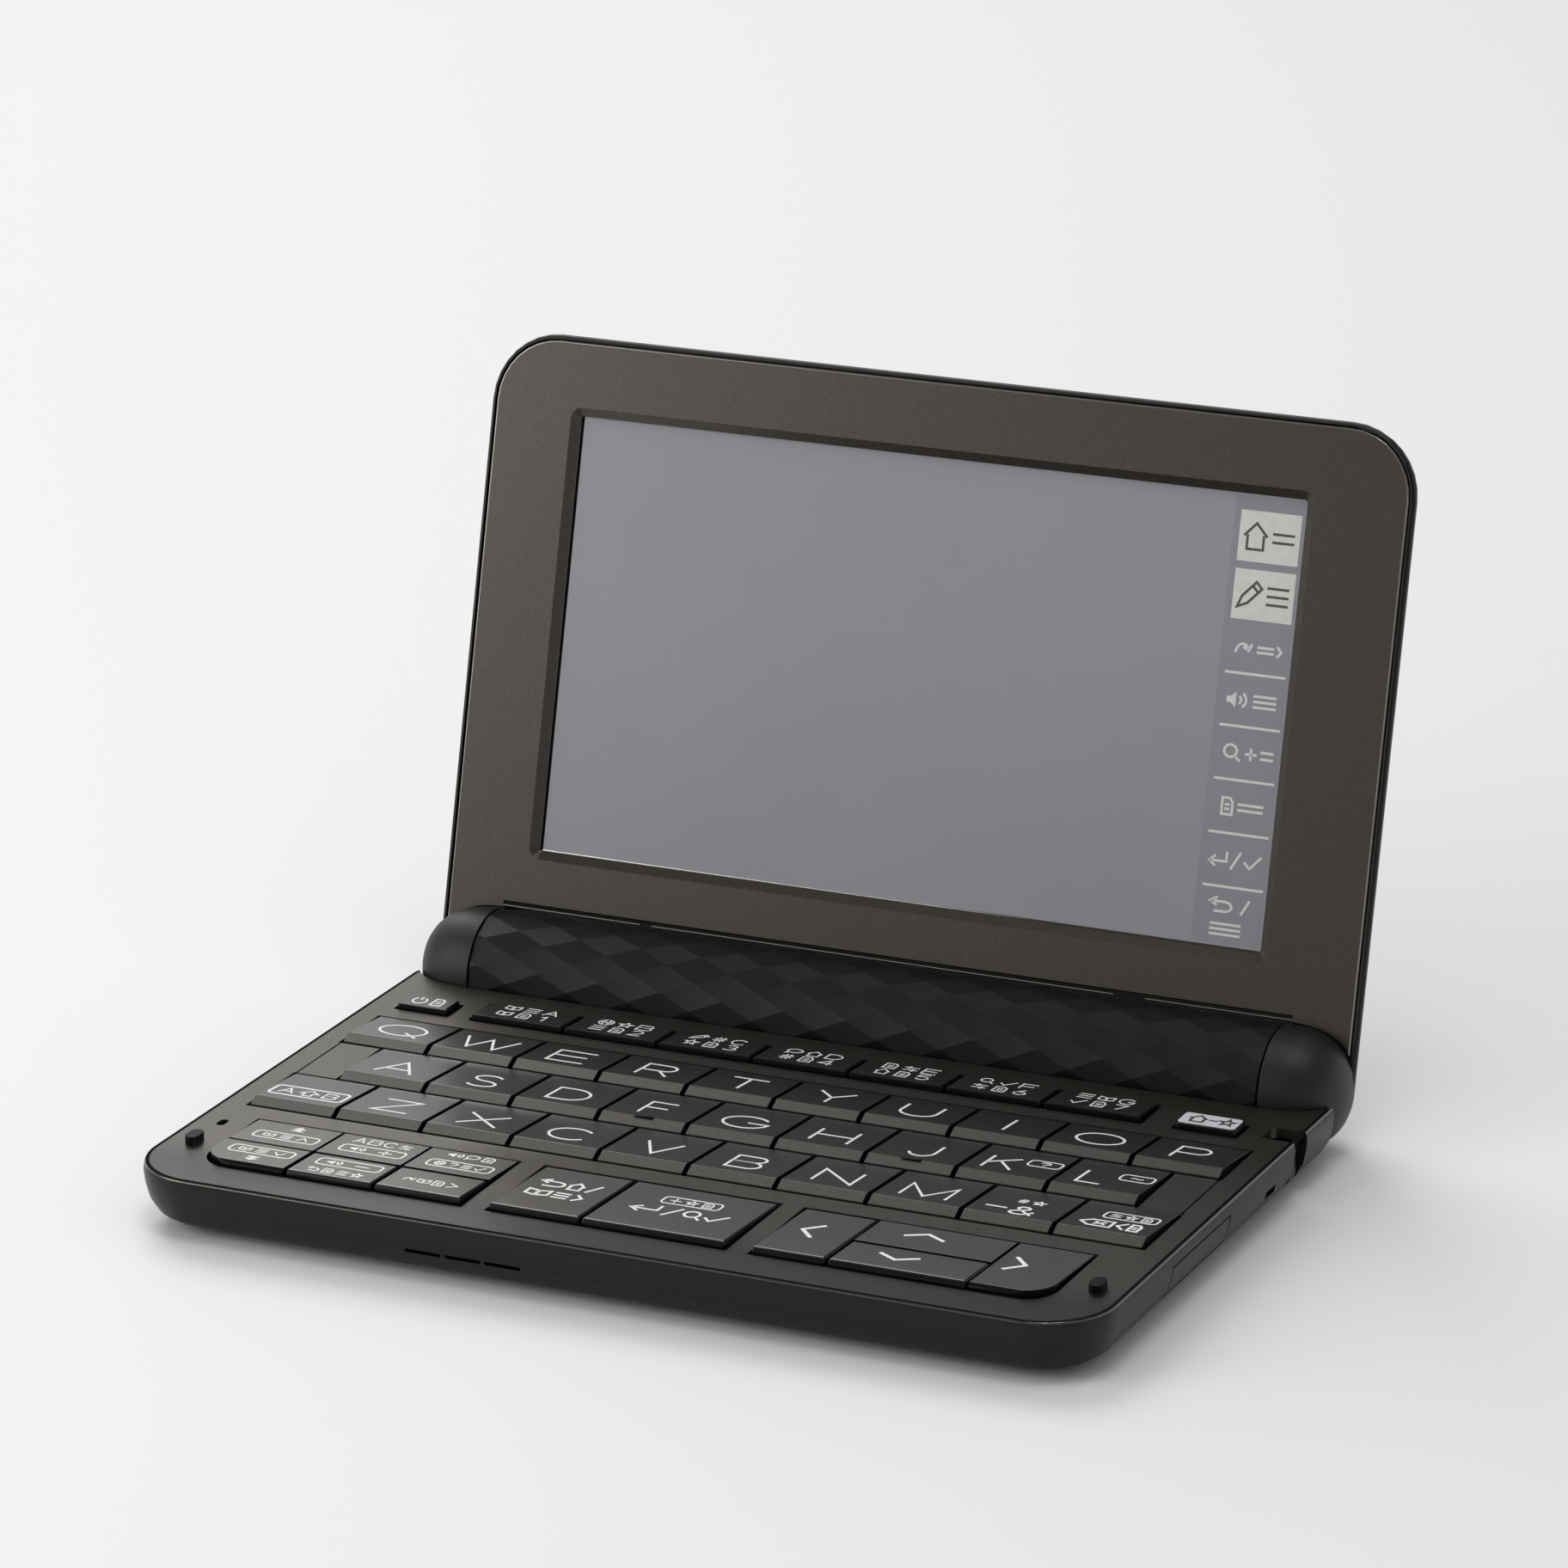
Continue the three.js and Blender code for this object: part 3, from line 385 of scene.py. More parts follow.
def dark_gloss():
    made = material("dark_gloss", (0.004, 0.004, 0.004), 0.2, specular=0.24)
    roughness_spread(made, 120, 0.17, 0.24)
    return made


def matte_black():
    """Black plastic of low sheen: key walls and pegs, and painted shade on the lid's right-hand rim
    and its lip.
    """
    made = material("matte_black", (0.0035, 0.0035, 0.0032), 0.5, specular=0.14)
    mottle(made, 2400, (0.003, 0.003, 0.0027), (0.004, 0.004, 0.0037))
    return made


def rim_painted_highlight(name, tone):
    """A rounded rim's painted highlight: a light metallic tone."""
    made = material(name, (tone, 0.95 * tone, 0.85 * tone), 0.24, 0.9)
    roughness_spread(made, 300, 0.2, 0.28)
    return made


def bead_painted_highlight():
    """The polished bead under the display, its colour a painted highlight: bright at its left, fading
    to brown at its right.
    """
    made = material("bead_painted_highlight", (0.5, 0.5, 0.5), 0.2, 0.9)
    # Painted highlight: light at the bead's left, fading to brown towards its right
    fade = fade_along(made, "Object", "X", BEAD_FADE_START, BEAD_FADE_END)
    tones(made, fade, "Result", (0.62, 0.62, 0.6), (0.1, 0.09, 0.075))
    return made


def joint_shadow():
    made = material("joint_shadow", (0.002, 0.002, 0.002), 0.9, specular=0.1)
    mottle(made, 2000, (0.0018, 0.0018, 0.0018), (0.0024, 0.0024, 0.0024))
    return made


def white_ink():
    made = material("white_ink", (0.8, 0.8, 0.78), 0.5)
    mottle(made, 4000, (0.77, 0.77, 0.75), (0.83, 0.83, 0.81))
    return made


def white_plate():
    made = material("white_plate", (0.62, 0.64, 0.66), 0.3)
    mottle(made, 2500, (0.6, 0.62, 0.64), (0.64, 0.66, 0.68))
    return made


def display_film():
    made = material("display_film", (0.27, 0.276, 0.292), 0.4, specular=0.35)
    mottle(made, 40, (0.262, 0.269, 0.284), (0.278, 0.283, 0.3), 0.3)
    grain(made, 9000, FILM_GRAIN, 0.3)
    return made


def label_column():
    made = material("label_column", (0.238, 0.243, 0.266), 0.4, specular=0.35)
    mottle(made, 60, (0.233, 0.238, 0.26), (0.243, 0.248, 0.272), 0.3)
    return made


def label_white():
    made = material("label_white", (0.6, 0.61, 0.57), 0.45)
    mottle(made, 900, (0.58, 0.59, 0.55), (0.62, 0.63, 0.59))
    return made


def label_dark():
    made = material("label_dark", (0.07, 0.07, 0.07), 0.5)
    mottle(made, 1200, (0.065, 0.065, 0.065), (0.075, 0.075, 0.075))
    return made


def rubber():
    made = material("rubber", (0.012, 0.012, 0.012), 0.7, specular=0.3)
    grain(made, 3000, COARSE_GRAIN, 0.6)
    return made


def board_green():
    made = material("board_green", (0.01, 0.06, 0.03), 0.35)
    mottle(made, 1500, (0.008, 0.05, 0.025), (0.014, 0.075, 0.036))
    return made


def pin_steel():
    made = material("pin_steel", (0.55, 0.55, 0.55), 0.3, 1.0)
    roughness_spread(made, 2500, 0.25, 0.36)
    return made


def cell_wrap():
    made = material("cell_wrap", (0.35, 0.22, 0.06), 0.35, 0.8)
    roughness_spread(made, 400, 0.3, 0.4)
    return made


SHELL = shell_plastic("shell_plastic", 0.36, 0.27)
LID_SHELL = shell_plastic("lid_plastic", 0.5, 0.5)
BARREL = barrel_plastic()
BROWN = lacquer("brown_paint", (0.064, 0.056, 0.046))
# The front keys' lacquer is a lighter copy of the key lacquer: painted light on the front keys
FRONT_KEY = lacquer("front_key_paint", (0.1, 0.093, 0.084), 0.4)
PLATE = plate_paint()
KEY = lacquer("key_paint", (0.052, 0.048, 0.043), 0.38, 0.4, 0.2)
GLOSS = dark_gloss()
MATTE = matte_black()
# Painted highlights: light metallic tones on the rounded rims of the lid and case, and on the lip's
# line
LID_RIM_HIGHLIGHT = rim_painted_highlight("lid_rim_painted_highlight", 0.3)
CASE_RIM_HIGHLIGHT = rim_painted_highlight("case_rim_painted_highlight", 0.15)
BEAD = bead_painted_highlight()
SHADOW = joint_shadow()
WHITE = white_ink()
WHITE_PLATE = white_plate()
DISPLAY = display_film()
COLUMN = label_column()
LABEL = label_white()
LABEL_MARK = label_dark()
RUBBER = rubber()
BOARD = board_green()
STEEL = pin_steel()
CELL = cell_wrap()


# Pieces

def body_of(node_name):
    """The body that a CAD node belongs to."""
    bodies = frame["record"]["behaviour"]["bodies"]
    return next(name for name, members in bodies.items() if node_name in members)


def mesh_of(name, data):
    """A mesh of the edited mesh data, which is freed."""
    mesh = bpy.data.meshes.new(name)
    data.to_mesh(mesh)
    data.free()
    return mesh


def add_object(name, data):
    made = bpy.data.objects.new(name, data)
    bpy.context.scene.collection.objects.link(made)
    return made


def add_piece(name, data, looks, body, smooth_angle=SMOOTH_ANGLE):
    """Turns edited mesh data into a piece that rides on a body."""
    mesh = mesh_of(name, data)
    for polygon in mesh.polygons:
        polygon.use_smooth = True
    mesh.set_sharp_from_angle(angle=smooth_angle)
    for look in looks:
        mesh.materials.append(look)
    piece = add_object(name, mesh)
    evened = piece.modifiers.new("evened_normals", "WEIGHTED_NORMAL")
    evened.keep_sharp = True
    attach(piece, body)
    return piece


def sharp_edges(data, least_angle):
    return [
        edge for edge in data.edges
        if len(edge.link_faces) == 2 and edge.calc_face_angle(0) > least_angle
    ]


def bevel(data, edges, width, segments, clamped):
    bmesh.ops.bevel(data, geom=edges, offset=width, offset_type="OFFSET", segments=segments,
                    profile=0.5, affect="EDGES", clamp_overlap=clamped)


def round_edges(data, width, least_angle=EDGE_ANGLE, segments=2):
    bevel(data, sharp_edges(data, least_angle), width, segments, True)


def paint_faces(data, is_second):
    """Gives the piece's second look to the faces that pass the test, and its first to the others."""
    for face in data.faces:
        face.material_index = int(is_second(face))


def node_data(node_name):
    """Mesh data of a CAD node, with its flat faces joined."""
    data = bmesh.new()
    data.from_mesh(frame["nodes"][node_name].data)
    bmesh.ops.remove_doubles(data, verts=data.verts, dist=WELD_DISTANCE)
    bmesh.ops.dissolve_limit(data, angle_limit=FLAT_ANGLE, verts=data.verts, edges=data.edges)
    return data


def softened(node_name, look, width=0, least_angle=NODE_EDGE_ANGLE, paint=None, second=None,
             smooth_angle=SMOOTH_ANGLE, rim=None):
    """Stands for a CAD node: the same solid with its sharp edges rounded.

    paint says which faces take the second look, and rim which edges get the wider round of a rim.
    """
    data = node_data(node_name)
    if rim:
        edges = [edge for edge in sharp_edges(data, least_angle) if rim(edge)]
        bevel(data, edges, RIM_ROUND, WIDE_SEGMENTS, False)
    if width > 0:
        round_edges(data, width, least_angle)
    looks = [look]
    if paint:
        looks.append(second)
        paint_faces(data, paint)
    piece = add_piece(
        f"{node_name}_skin", data, looks, body_of(node_name), smooth_angle)
    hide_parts(node_name)


# Stage, light and camera

def stage():
    data = bmesh.new()
    bmesh.ops.create_grid(data, x_segments=1, y_segments=1, size=FLOOR_SIZE)
    mesh = mesh_of("floor", data)
    mesh.materials.append(material("floor_white", FLOOR_COLOUR, 0.6))
    add_object("floor", mesh)


def glow_by_direction(made):
    """The surroundings as seen: pale behind the lid, dimmer overhead and in front."""
    by_height = fade_along(
        made, "Generated", "Z", GLOW_FADE_START, GLOW_FADE_END, LEVEL_GLOW, OVERHEAD_GLOW)
    by_depth = fade_along(
        made, "Generated", "Y", BACK_GLOW_START, BACK_GLOW_END, FRONT_GLOW_SHARE)
    both = operation(made, "Math", "MULTIPLY")
    link(made, by_height, "Result", both, 0)
    link(made, by_depth, "Result", both, 1)
    seen = node(made, "Background", Color=(1, 1, 1, 1))
    link(made, both, 0, seen, "Strength")
    return seen


def world():
    """Pale surroundings: brighter to the camera and in reflections than as light."""
    made = bpy.data.worlds.new("surroundings")
    bpy.context.scene.world = made
    made.use_nodes = True
    made.node_tree.nodes.clear()
    path = node(made, "LightPath")
    either = operation(made, "Math", "MAXIMUM")
    link(made, path, "Is Camera Ray", either, 0)
    link(made, path, "Is Glossy Ray", either, 1)
    any_of = operation(made, "Math", "MAXIMUM")
    link(made, either, 0, any_of, 0)
    link(made, path, "Is Transmission Ray", any_of, 1)
    ambient = node(made, "Background", Color=(1, 1, 1, 1), Strength=AMBIENT)
    mix = node(made, "MixShader")
    link(made, any_of, 0, mix, "Fac")
    link(made, ambient, 0, mix, 1)
    link(made, glow_by_direction(made), 0, mix, 2)
    output = node(made, "OutputWorld")
    link(made, mix, 0, output, "Surface")


def area_light(name, place, size, power):
    """A square lamp that looks at the part's middle."""
    light = bpy.data.lights.new(name, "AREA")
    light.shape = "SQUARE"
    light.size = size
    light.energy = power
    lamp = add_object(name, light)
    lamp.location = place
    lamp.rotation_euler = (LAMP_TARGET - Vector(place)).to_track_quat("-Z", "Y").to_euler()


def camera():
    back = Vector((
        math.sin(CAMERA_AZIMUTH) * math.cos(CAMERA_ELEVATION),
        -math.cos(CAMERA_AZIMUTH) * math.cos(CAMERA_ELEVATION),
        math.sin(CAMERA_ELEVATION)))
    right = Vector((math.cos(CAMERA_AZIMUTH), math.sin(CAMERA_AZIMUTH), 0))
    up = back.cross(right)
    turn = Matrix.Rotation(CAMERA_ROLL, 3, "Z")
    axes = Matrix((right, up, back)).transposed() @ turn
    data = bpy.data.cameras.new("camera")
    data.lens = CAMERA_LENS
    data.sensor_width = CAMERA_SENSOR
    data.sensor_fit = "HORIZONTAL"
    data.clip_start = CAMERA_NEAR
    data.clip_end = CAMERA_FAR
    eye = add_object("camera", data)
    eye.matrix_world = Matrix.Translation(CAMERA_TARGET + back * CAMERA_DISTANCE) @ axes.to_4x4()
    bpy.context.scene.camera = eye


# Flat marks. A drawing is a list of (kind, points) in a box from -1 to 1 both ways

def line(*points):
    return ("line", list(points))


def loop(*points):
    return ("loop", list(points))


def patch(*points):
    return ("patch", list(points))


def arc(x, y, radius_x, radius_y, start, stop, steps=14):
    """Points on an ellipse between two angles in degrees."""
    points = []
    for i in range(steps + 1):
        angle = math.radians(start + (stop - start) * i / steps)
        points.append((x + radius_x * math.cos(angle), y + radius_y * math.sin(angle)))
    return points


def oval(x=0, y=0, radius_x=1, radius_y=1, steps=28):
    return loop(*arc(x, y, radius_x, radius_y, 0, 360, steps)[:-1])


def placed(drawing, x, y, half_x, half_y):
    """The drawing moved to a place and stretched to half sizes."""
    return [
        (kind, [(x + across * half_x, y + along * half_y) for across, along in points])
        for kind, points in drawing
    ]


STEM_AND_BOWL = line((-1, -1), (-1, 1), *arc(0.35, 0.45, 0.65, 0.55, 90, -90), (-1, -0.1))

# Each letter's width in millimetres and its strokes
LETTERS = {
    "a": (5.9, [line((-1, -1), (0, 1), (1, -1)), line((-0.66, -0.33), (0.66, -0.33))]),
    "b": (4.9, [loop((-1, 1), *arc(0.3, 0.53, 0.6, 0.47, 90, -90), (-1, 0.06)),
                loop((-1, 0.06), *arc(0.35, -0.47, 0.65, 0.53, 90, -90), (-1, -1))]),
    "c": (6.5, [line(*arc(0, 0, 1, 1, 38, 322, 20))]),
    "d": (5.7, [loop((-1, 1), *arc(-0.1, 0, 1.1, 1, 90, -90, 18), (-1, -1))]),
    "e": (5.9, [line((1, 1), (-1, 1), (-1, -1), (1, -1)), line((-1, 0.06), (0.8, 0.06))]),
    "f": (4.0, [line((1, 1), (-1, 1), (-1, -1)), line((-1, 0), (0.75, 0))]),
    "g": (7.0, [line(*arc(0, 0, 1, 1, 38, 352, 22), (1, -0.06), (0.1, -0.06))]),
    "h": (5.8, [line((-1, 1), (-1, -1)), line((1, 1), (1, -1)), line((-1, 0.04), (1, 0.04))]),
    "i": (1.0, [line((0, 1), (0, -1))]),
    "j": (3.8, [line((1, 1), *arc(0, -0.3, 1, 0.7, 0, -165))]),
    "k": (4.4, [line((-1, 1), (-1, -1)), line((0.9, 1), (-1, -0.2)), line((-0.25, 0.27), (1, -1))]),
    "l": (3.6, [line((-1, 1), (-1, -1), (1, -1))]),
    "m": (6.9, [line((-1, -1), (-1, 1), (0, -0.9), (1, 1), (1, -1))]),
    "n": (5.9, [line((-1, -1), (-1, 1), (1, -1), (1, 1))]),
    "o": (7.1, [oval()]),
    "p": (4.7, [STEM_AND_BOWL]),
    "q": (7.4, [oval(), line((0.25, -0.4), (0.95, -1.12))]),
    "r": (4.9, [STEM_AND_BOWL, line((0.15, -0.1), (1, -1))]),
    "s": (4.4, [line(*arc(0, 0.5, 0.92, 0.5, 25, 270), *arc(0, -0.5, 1, 0.5, 90, -155)[1:])]),
    "t": (5.6, [line((-1, 1), (1, 1)), line((0, 1), (0, -1))]),
    "u": (5.6, [line((-1, 1), *arc(0, -0.2, 1, 0.8, 180, 360), (1, 1))]),
    "v": (5.6, [line((-1, 1), (0, -1), (1, 1))]),
    "w": (8.5, [line((-1, 1), (-0.5, -1), (0, 0.8), (0.5, -1), (1, 1))]),
    "x": (6.2, [line((-1, 1), (1, -1)), line((1, 1), (-1, -1))]),
    "y": (5.6, [line((-1, 1), (0, -0.05), (1, 1)), line((0, -0.05), (0, -1))]),
    "z": (5.6, [line((-1, 1), (1, 1), (-1, -1), (1, -1))]),
}

DIGITS = [
    [line((-0.5, 0.55), (0.15, 1), (0.15, -1))],
    [line(*arc(0, 0.4, 0.8, 0.6, 160, -35), (-0.85, -1), (0.9, -1))],
    [line(*arc(0, 0.5, 0.75, 0.5, 150, -90), *arc(0, -0.5, 0.9, 0.5, 90, -150)[1:])],
    [line((0.45, -1), (0.45, 1), (-0.9, -0.4), (0.95, -0.4))],
    [line((0.8, 1), (-0.6, 1), (-0.75, 0.1), *arc(0, -0.35, 0.85, 0.65, 120, -150))],
    [oval(0, -0.4, 0.8, 0.6, 20), line((0.4, 1), (-0.75, -0.2))],
    [line((-0.85, 1), (0.85, 1), (-0.2, -1))],
]

# Plain symbols
MINUS = [line((-1, 0), (1, 0))]
PLUS = [line((-1, 0), (1, 0)), line((0, -1), (0, 1))]
SLASH = [line((-1, -1), (1, 1))]
QUESTION = [line(*arc(0, 0.45, 0.75, 0.55, 170, -60), (0, -0.25)),
            patch((-0.2, -0.7), (0.2, -0.7), (0.2, -1), (-0.2, -1))]
WAVE = [line(*arc(-0.5, -0.3, 0.5, 0.7, 170, 40, 8), *arc(0.5, 0.3, 0.5, 0.7, 220, 350, 8))]
AMPERSAND = [line((1, -1), (-0.55, 0.45), *arc(-0.1, 0.6, 0.5, 0.4, 190, -20, 10),
                  (-0.7, -0.2), *arc(-0.2, -0.55, 0.75, 0.45, 140, 330, 12), (1, -0.1))]
HASH = [line((-0.35, -1), (-0.15, 1)), line((0.25, -1), (0.45, 1)),
        line((-0.8, 0.35), (0.9, 0.35)), line((-0.9, -0.35), (0.8, -0.35))]
HOUSE = [line((-1, 0), (0, 1), (1, 0)), line((-0.7, 0.1), (-0.7, -1), (0.7, -1), (0.7, 0.1))]
BOOK = [loop((-0.06, 0.45), (-1, 0.75), (-1, -0.5), (-0.06, -0.8)),
        loop((0.06, 0.45), (0.06, -0.8), (1, -0.5), (1, 0.75))]
GLOBE = [oval(), oval(0, 0, 0.42, 1), line((-1, 0), (1, 0))]
BUBBLE = [loop(*arc(0, 0.15, 1, 0.75, -110, 220, 20), (-0.95, -1))]
PENCIL = [loop((-1, -1), (-0.65, -0.15), (0.5, 1), (1, 0.5), (-0.15, -0.65)),
          line((0.2, 0.7), (0.7, 0.2))]
ROWS = [line((-1, 0.8), (1, 0.8)), line((-1, 0), (1, 0)), line((-1, -0.8), (1, -0.8))]
TWO_ROWS = [line((-1, 0.6), (1, 0.6)), line((-1, -0.6), (1, -0.6))]
LENS = [oval(-0.2, 0.2, 0.75, 0.75, 20), line((0.35, -0.35), (1, -1))]
NOTE = [loop((-0.8, -1), (-0.8, 1), (0.35, 1), (0.8, 0.5), (0.8, -1)),
        line((-0.4, 0.2), (0.4, 0.2)), line((-0.4, -0.35), (0.4, -0.35))]
RETURN_ARROW = [line((-0.35, 1), (-1, 0.45), (-0.35, -0.1)),
                line((-1, 0.45), *arc(0.35, -0.2, 0.65, 0.65, 90, -90, 8), (-0.6, -0.85))]
ENTER_ARROW = [line((-0.3, 0.45), (-1, -0.2), (-0.3, -0.85)),
               line((-1, -0.2), (0.9, -0.2), (0.9, 1))]
CHECK = [line((-1, 0), (-0.3, -0.8), (1, 0.9))]
ERASE = [loop((-1, 0), (-0.4, 0.9), (1, 0.9), (1, -0.9), (-0.4, -0.9)),
         line((-0.15, 0.4), (0.6, -0.4)), line((-0.15, -0.4), (0.6, 0.4))]
UP_ARROW = [loop((0, 1), (-1, 0), (-0.45, 0), (-0.45, -1), (0.45, -1), (0.45, 0), (1, 0))]
HOP_ARROW = [line(*arc(-0.1, -0.7, 0.75, 1.3, 175, 25, 12)),
             line((-0.05, 0.25), (0.6, -0.25), (0.9, 0.7))]
SLIDERS = [line((-1, 0.5), (1, 0.5)), line((-1, -0.5), (1, -0.5)),
           patch((-0.5, 0.05), (-0.15, 0.05), (-0.15, 0.95), (-0.5, 0.95)),
           patch((0.2, -0.95), (0.55, -0.95), (0.55, -0.05), (0.2, -0.05))]
POWER = [line(*arc(0, -0.1, 0.9, 0.9, 125, 415, 20)), line((0, 0.15), (0, 1))]
SPEAKER = [patch((-1, -0.35), (-0.6, -0.35), (-0.1, -0.9), (-0.1, 0.9), (-0.6, 0.35), (-1, 0.35)),
           line(*arc(-0.1, 0, 0.5, 0.55, -50, 50, 6)), line(*arc(-0.1, 0, 1, 1, -50, 50, 8))]
TWO_UP = [patch((-1, -1), (1, -1), (0, 0)), patch((-1, 0), (1, 0), (0, 1))]
TWO_DOWN = [patch((-1, 1), (0, 0), (1, 1)), patch((-1, 0), (0, -1), (1, 0))]
CHEVRON_LEFT = [line((0.8, 1), (-0.8, 0), (0.8, -1))]
CHEVRON_RIGHT = [line((-0.8, 1), (0.8, 0), (-0.8, -1))]
CHEVRON_UP = [line((-1, -0.8), (0, 0.8), (1, -0.8))]
CHEVRON_DOWN = [line((-1, 0.8), (0, -0.8), (1, 0.8))]
STAR = [loop(*[
    (math.sin(math.pi * i / 5) * (1, 0.42)[i % 2], math.cos(math.pi * i / 5) * (1, 0.42)[i % 2])
    for i in range(10)])]


# Marks: drawings in metres, each with the width of its strokes

def rounded_rectangle(half_x, half_y, corner):
    """Points of a rectangle with round corners about its middle, in metres."""
    points = []
    for x, y, start in ((1, 1, 0), (-1, 1, 90), (-1, -1, 180), (1, -1, 270)):
        points += arc(x * (half_x - corner), y * (half_y - corner), corner, corner,
                      start, start + 90, CORNER_STEPS)
    return points


def mark(symbol, x, y, half_x, half_y, stroke=MARK_STROKE):
    """A symbol placed in millimetres, as a drawing in metres with its stroke."""
    return placed(symbol, x * MM, y * MM, half_x * MM, half_y * MM), stroke


def marks_of(stroke, *symbols):
    """Marks of one stroke, each with its symbol, place and half sizes."""
    return [mark(*symbol, stroke) for symbol in symbols]


def row(symbols, x, y, spacing, half_x, half_y):
    """Small marks of one size, evenly spaced about a place."""
    start = x - spacing * (len(symbols) - 1) / 2
    return [
        mark(symbol, start + spacing * i, y, half_x, half_y, SMALL_STROKE)
        for i, symbol in enumerate(symbols)
    ]


def label(x, y, width, height=LABEL_HEIGHT, stroke=MARK_STROKE):
    """The mark of a rounded label's outline; x, y and width are in millimetres."""
    outline = rounded_rectangle(width * MM / 2, height / 2, LABEL_CORNER)
    return placed([loop(*outline)], x * MM, y * MM, 1, 1), stroke


def flat_face(origin, across, along):
    """The place of a flat face: its origin, two directions along it, and its normal."""
    across = Vector(across).normalized()
    along = Vector(along).normalized()
    turned = Matrix((across, along, across.cross(along))).transposed().to_4x4()
    return Matrix.Translation(Vector(origin)) @ turned


def raised(face, height):
    """The place of a face that lies over another."""
    return face @ Matrix.Translation((0, 0, height))


def on_face(data, face, point, height):
    return data.verts.new(face @ Vector((*point, height)))


def add_patch(data, points, face, rise, sink):
    """Adds a thin closed slab of the outline."""
    low = [on_face(data, face, point, -sink) for point in points]
    high = [on_face(data, face, point, rise) for point in points]
    data.faces.new(high)
    data.faces.new(low[::-1])
    for i in range(len(points)):
        j = (i + 1) % len(points)
        data.faces.new((low[i], low[j], high[j], high[i]))


def add_ribbon(data, points, face, width, rise, sink, closed):
    """Adds a thin closed band along the points."""
    count = len(points)
    rims = []
    for i in range(count):
        here = Vector(points[i])
        runs = []
        if closed or i > 0:
            runs.append((here - Vector(points[i - 1])).normalized())
        if closed or i + 1 < count:
            runs.append((Vector(points[(i + 1) % count]) - here).normalized())
        first = Vector((-runs[0].y, runs[0].x))
        last = Vector((-runs[-1].y, runs[-1].x))
        mitre = (first + last).normalized()
        reach = mitre * (width / 2 / max(mitre.dot(first), MITRE_LIMIT))
        left = here + reach
        right = here - reach
        corners = ((left, -sink), (left, rise), (right, rise), (right, -sink))
        rims.append([on_face(data, face, point, height) for point, height in corners])
    last_rim = count if closed else count - 1
    for i in range(last_rim):
        here, there = rims[i], rims[(i + 1) % count]
        for k in range(4):
            data.faces.new((here[k], there[k], there[(k + 1) % 4], here[(k + 1) % 4]))
    if not closed:
        data.faces.new(rims[0])
        data.faces.new(rims[-1][::-1])


def draw(data, drawing, face, width, rise=INK_RISE, sink=INK_SINK):
    """Adds a drawing, in metres along a face, as thin solids."""
    for kind, points in drawing:
        if kind == "patch":
            add_patch(data, points, face, rise, sink)
        else:
            add_ribbon(data, points, face, width, rise, sink, kind == "loop")


def drawn_piece(name, data, look, body, edge=0, least_angle=EDGE_ANGLE):
    """Turns solids made here into a piece, with round edges where edge is a width."""
    bmesh.ops.recalc_face_normals(data, faces=data.faces)
    if edge > 0:
        round_edges(data, edge, least_angle)
    add_piece(name, data, [look], body)


def marks_piece(name, marks, face, body, look=WHITE, rise=INK_RISE, sink=INK_SINK):
    """Makes one piece of several (drawing, stroke) pairs on a face."""
    data = bmesh.new()
    for drawing, stroke in marks:
        draw(data, drawing, face, stroke, rise, sink)
    drawn_piece(name, data, look, body)


# Legends: their marks, in millimetres with x from the key's middle and y from its front
LETTER_SYMBOLS = [LETTERS[letter][1] for letter in "abcdefg"]
LETTER_A, LETTER_B, LETTER_C = LETTER_SYMBOLS[:3]
LETTER_LABELS = {
    "k": [label(3.7, 8.6, 4.9), mark(QUESTION, 3.7, 8.6, 0.9, 0.75)],
    "l": [label(3.7, 8.6, 4.9), mark(WAVE, 3.7, 8.6, 0.9, 0.3)],
}
WORD_LEGENDS = {
    "shift_key": [
        label(0, 5.9, 11.7, SHIFT_LABEL_HEIGHT, LETTER_STROKE),
        mark(UP_ARROW, 0, 5.9, 1.5, 1.2),
        mark(LETTER_A, -3.5, 5.9, 1.1, 1.1),
        mark(LETTER_B, 3.5, 5.9, 1, 1.1),
    ],
    "symbol_key": [
        mark(MINUS, -3.1, 5, 1.6, 1, SIGN_STROKE),
        mark(AMPERSAND, 1, 4.7, 1.7, 1.7, SIGN_STROKE),
        mark(HASH, -0.6, 8.8, 0.8, 0.8),
        mark(STAR, 1.8, 8.8, 0.85, 0.85),
    ],
    "delete_key": [
        label(1.6, 8.9, 7.9),
        *row([SLIDERS, STAR, NOTE], 1.6, 8.9, 2.3, 0.8, 0.8),
        *marks_of(LETTER_STROKE, (ERASE, -2, 4.8, 2.3, 1.4), (CHEVRON_LEFT, 1.7, 4.8, 0.8, 1.4),
                  (NOTE, 3.7, 4.8, 0.9, 1.4)),
    ],
}
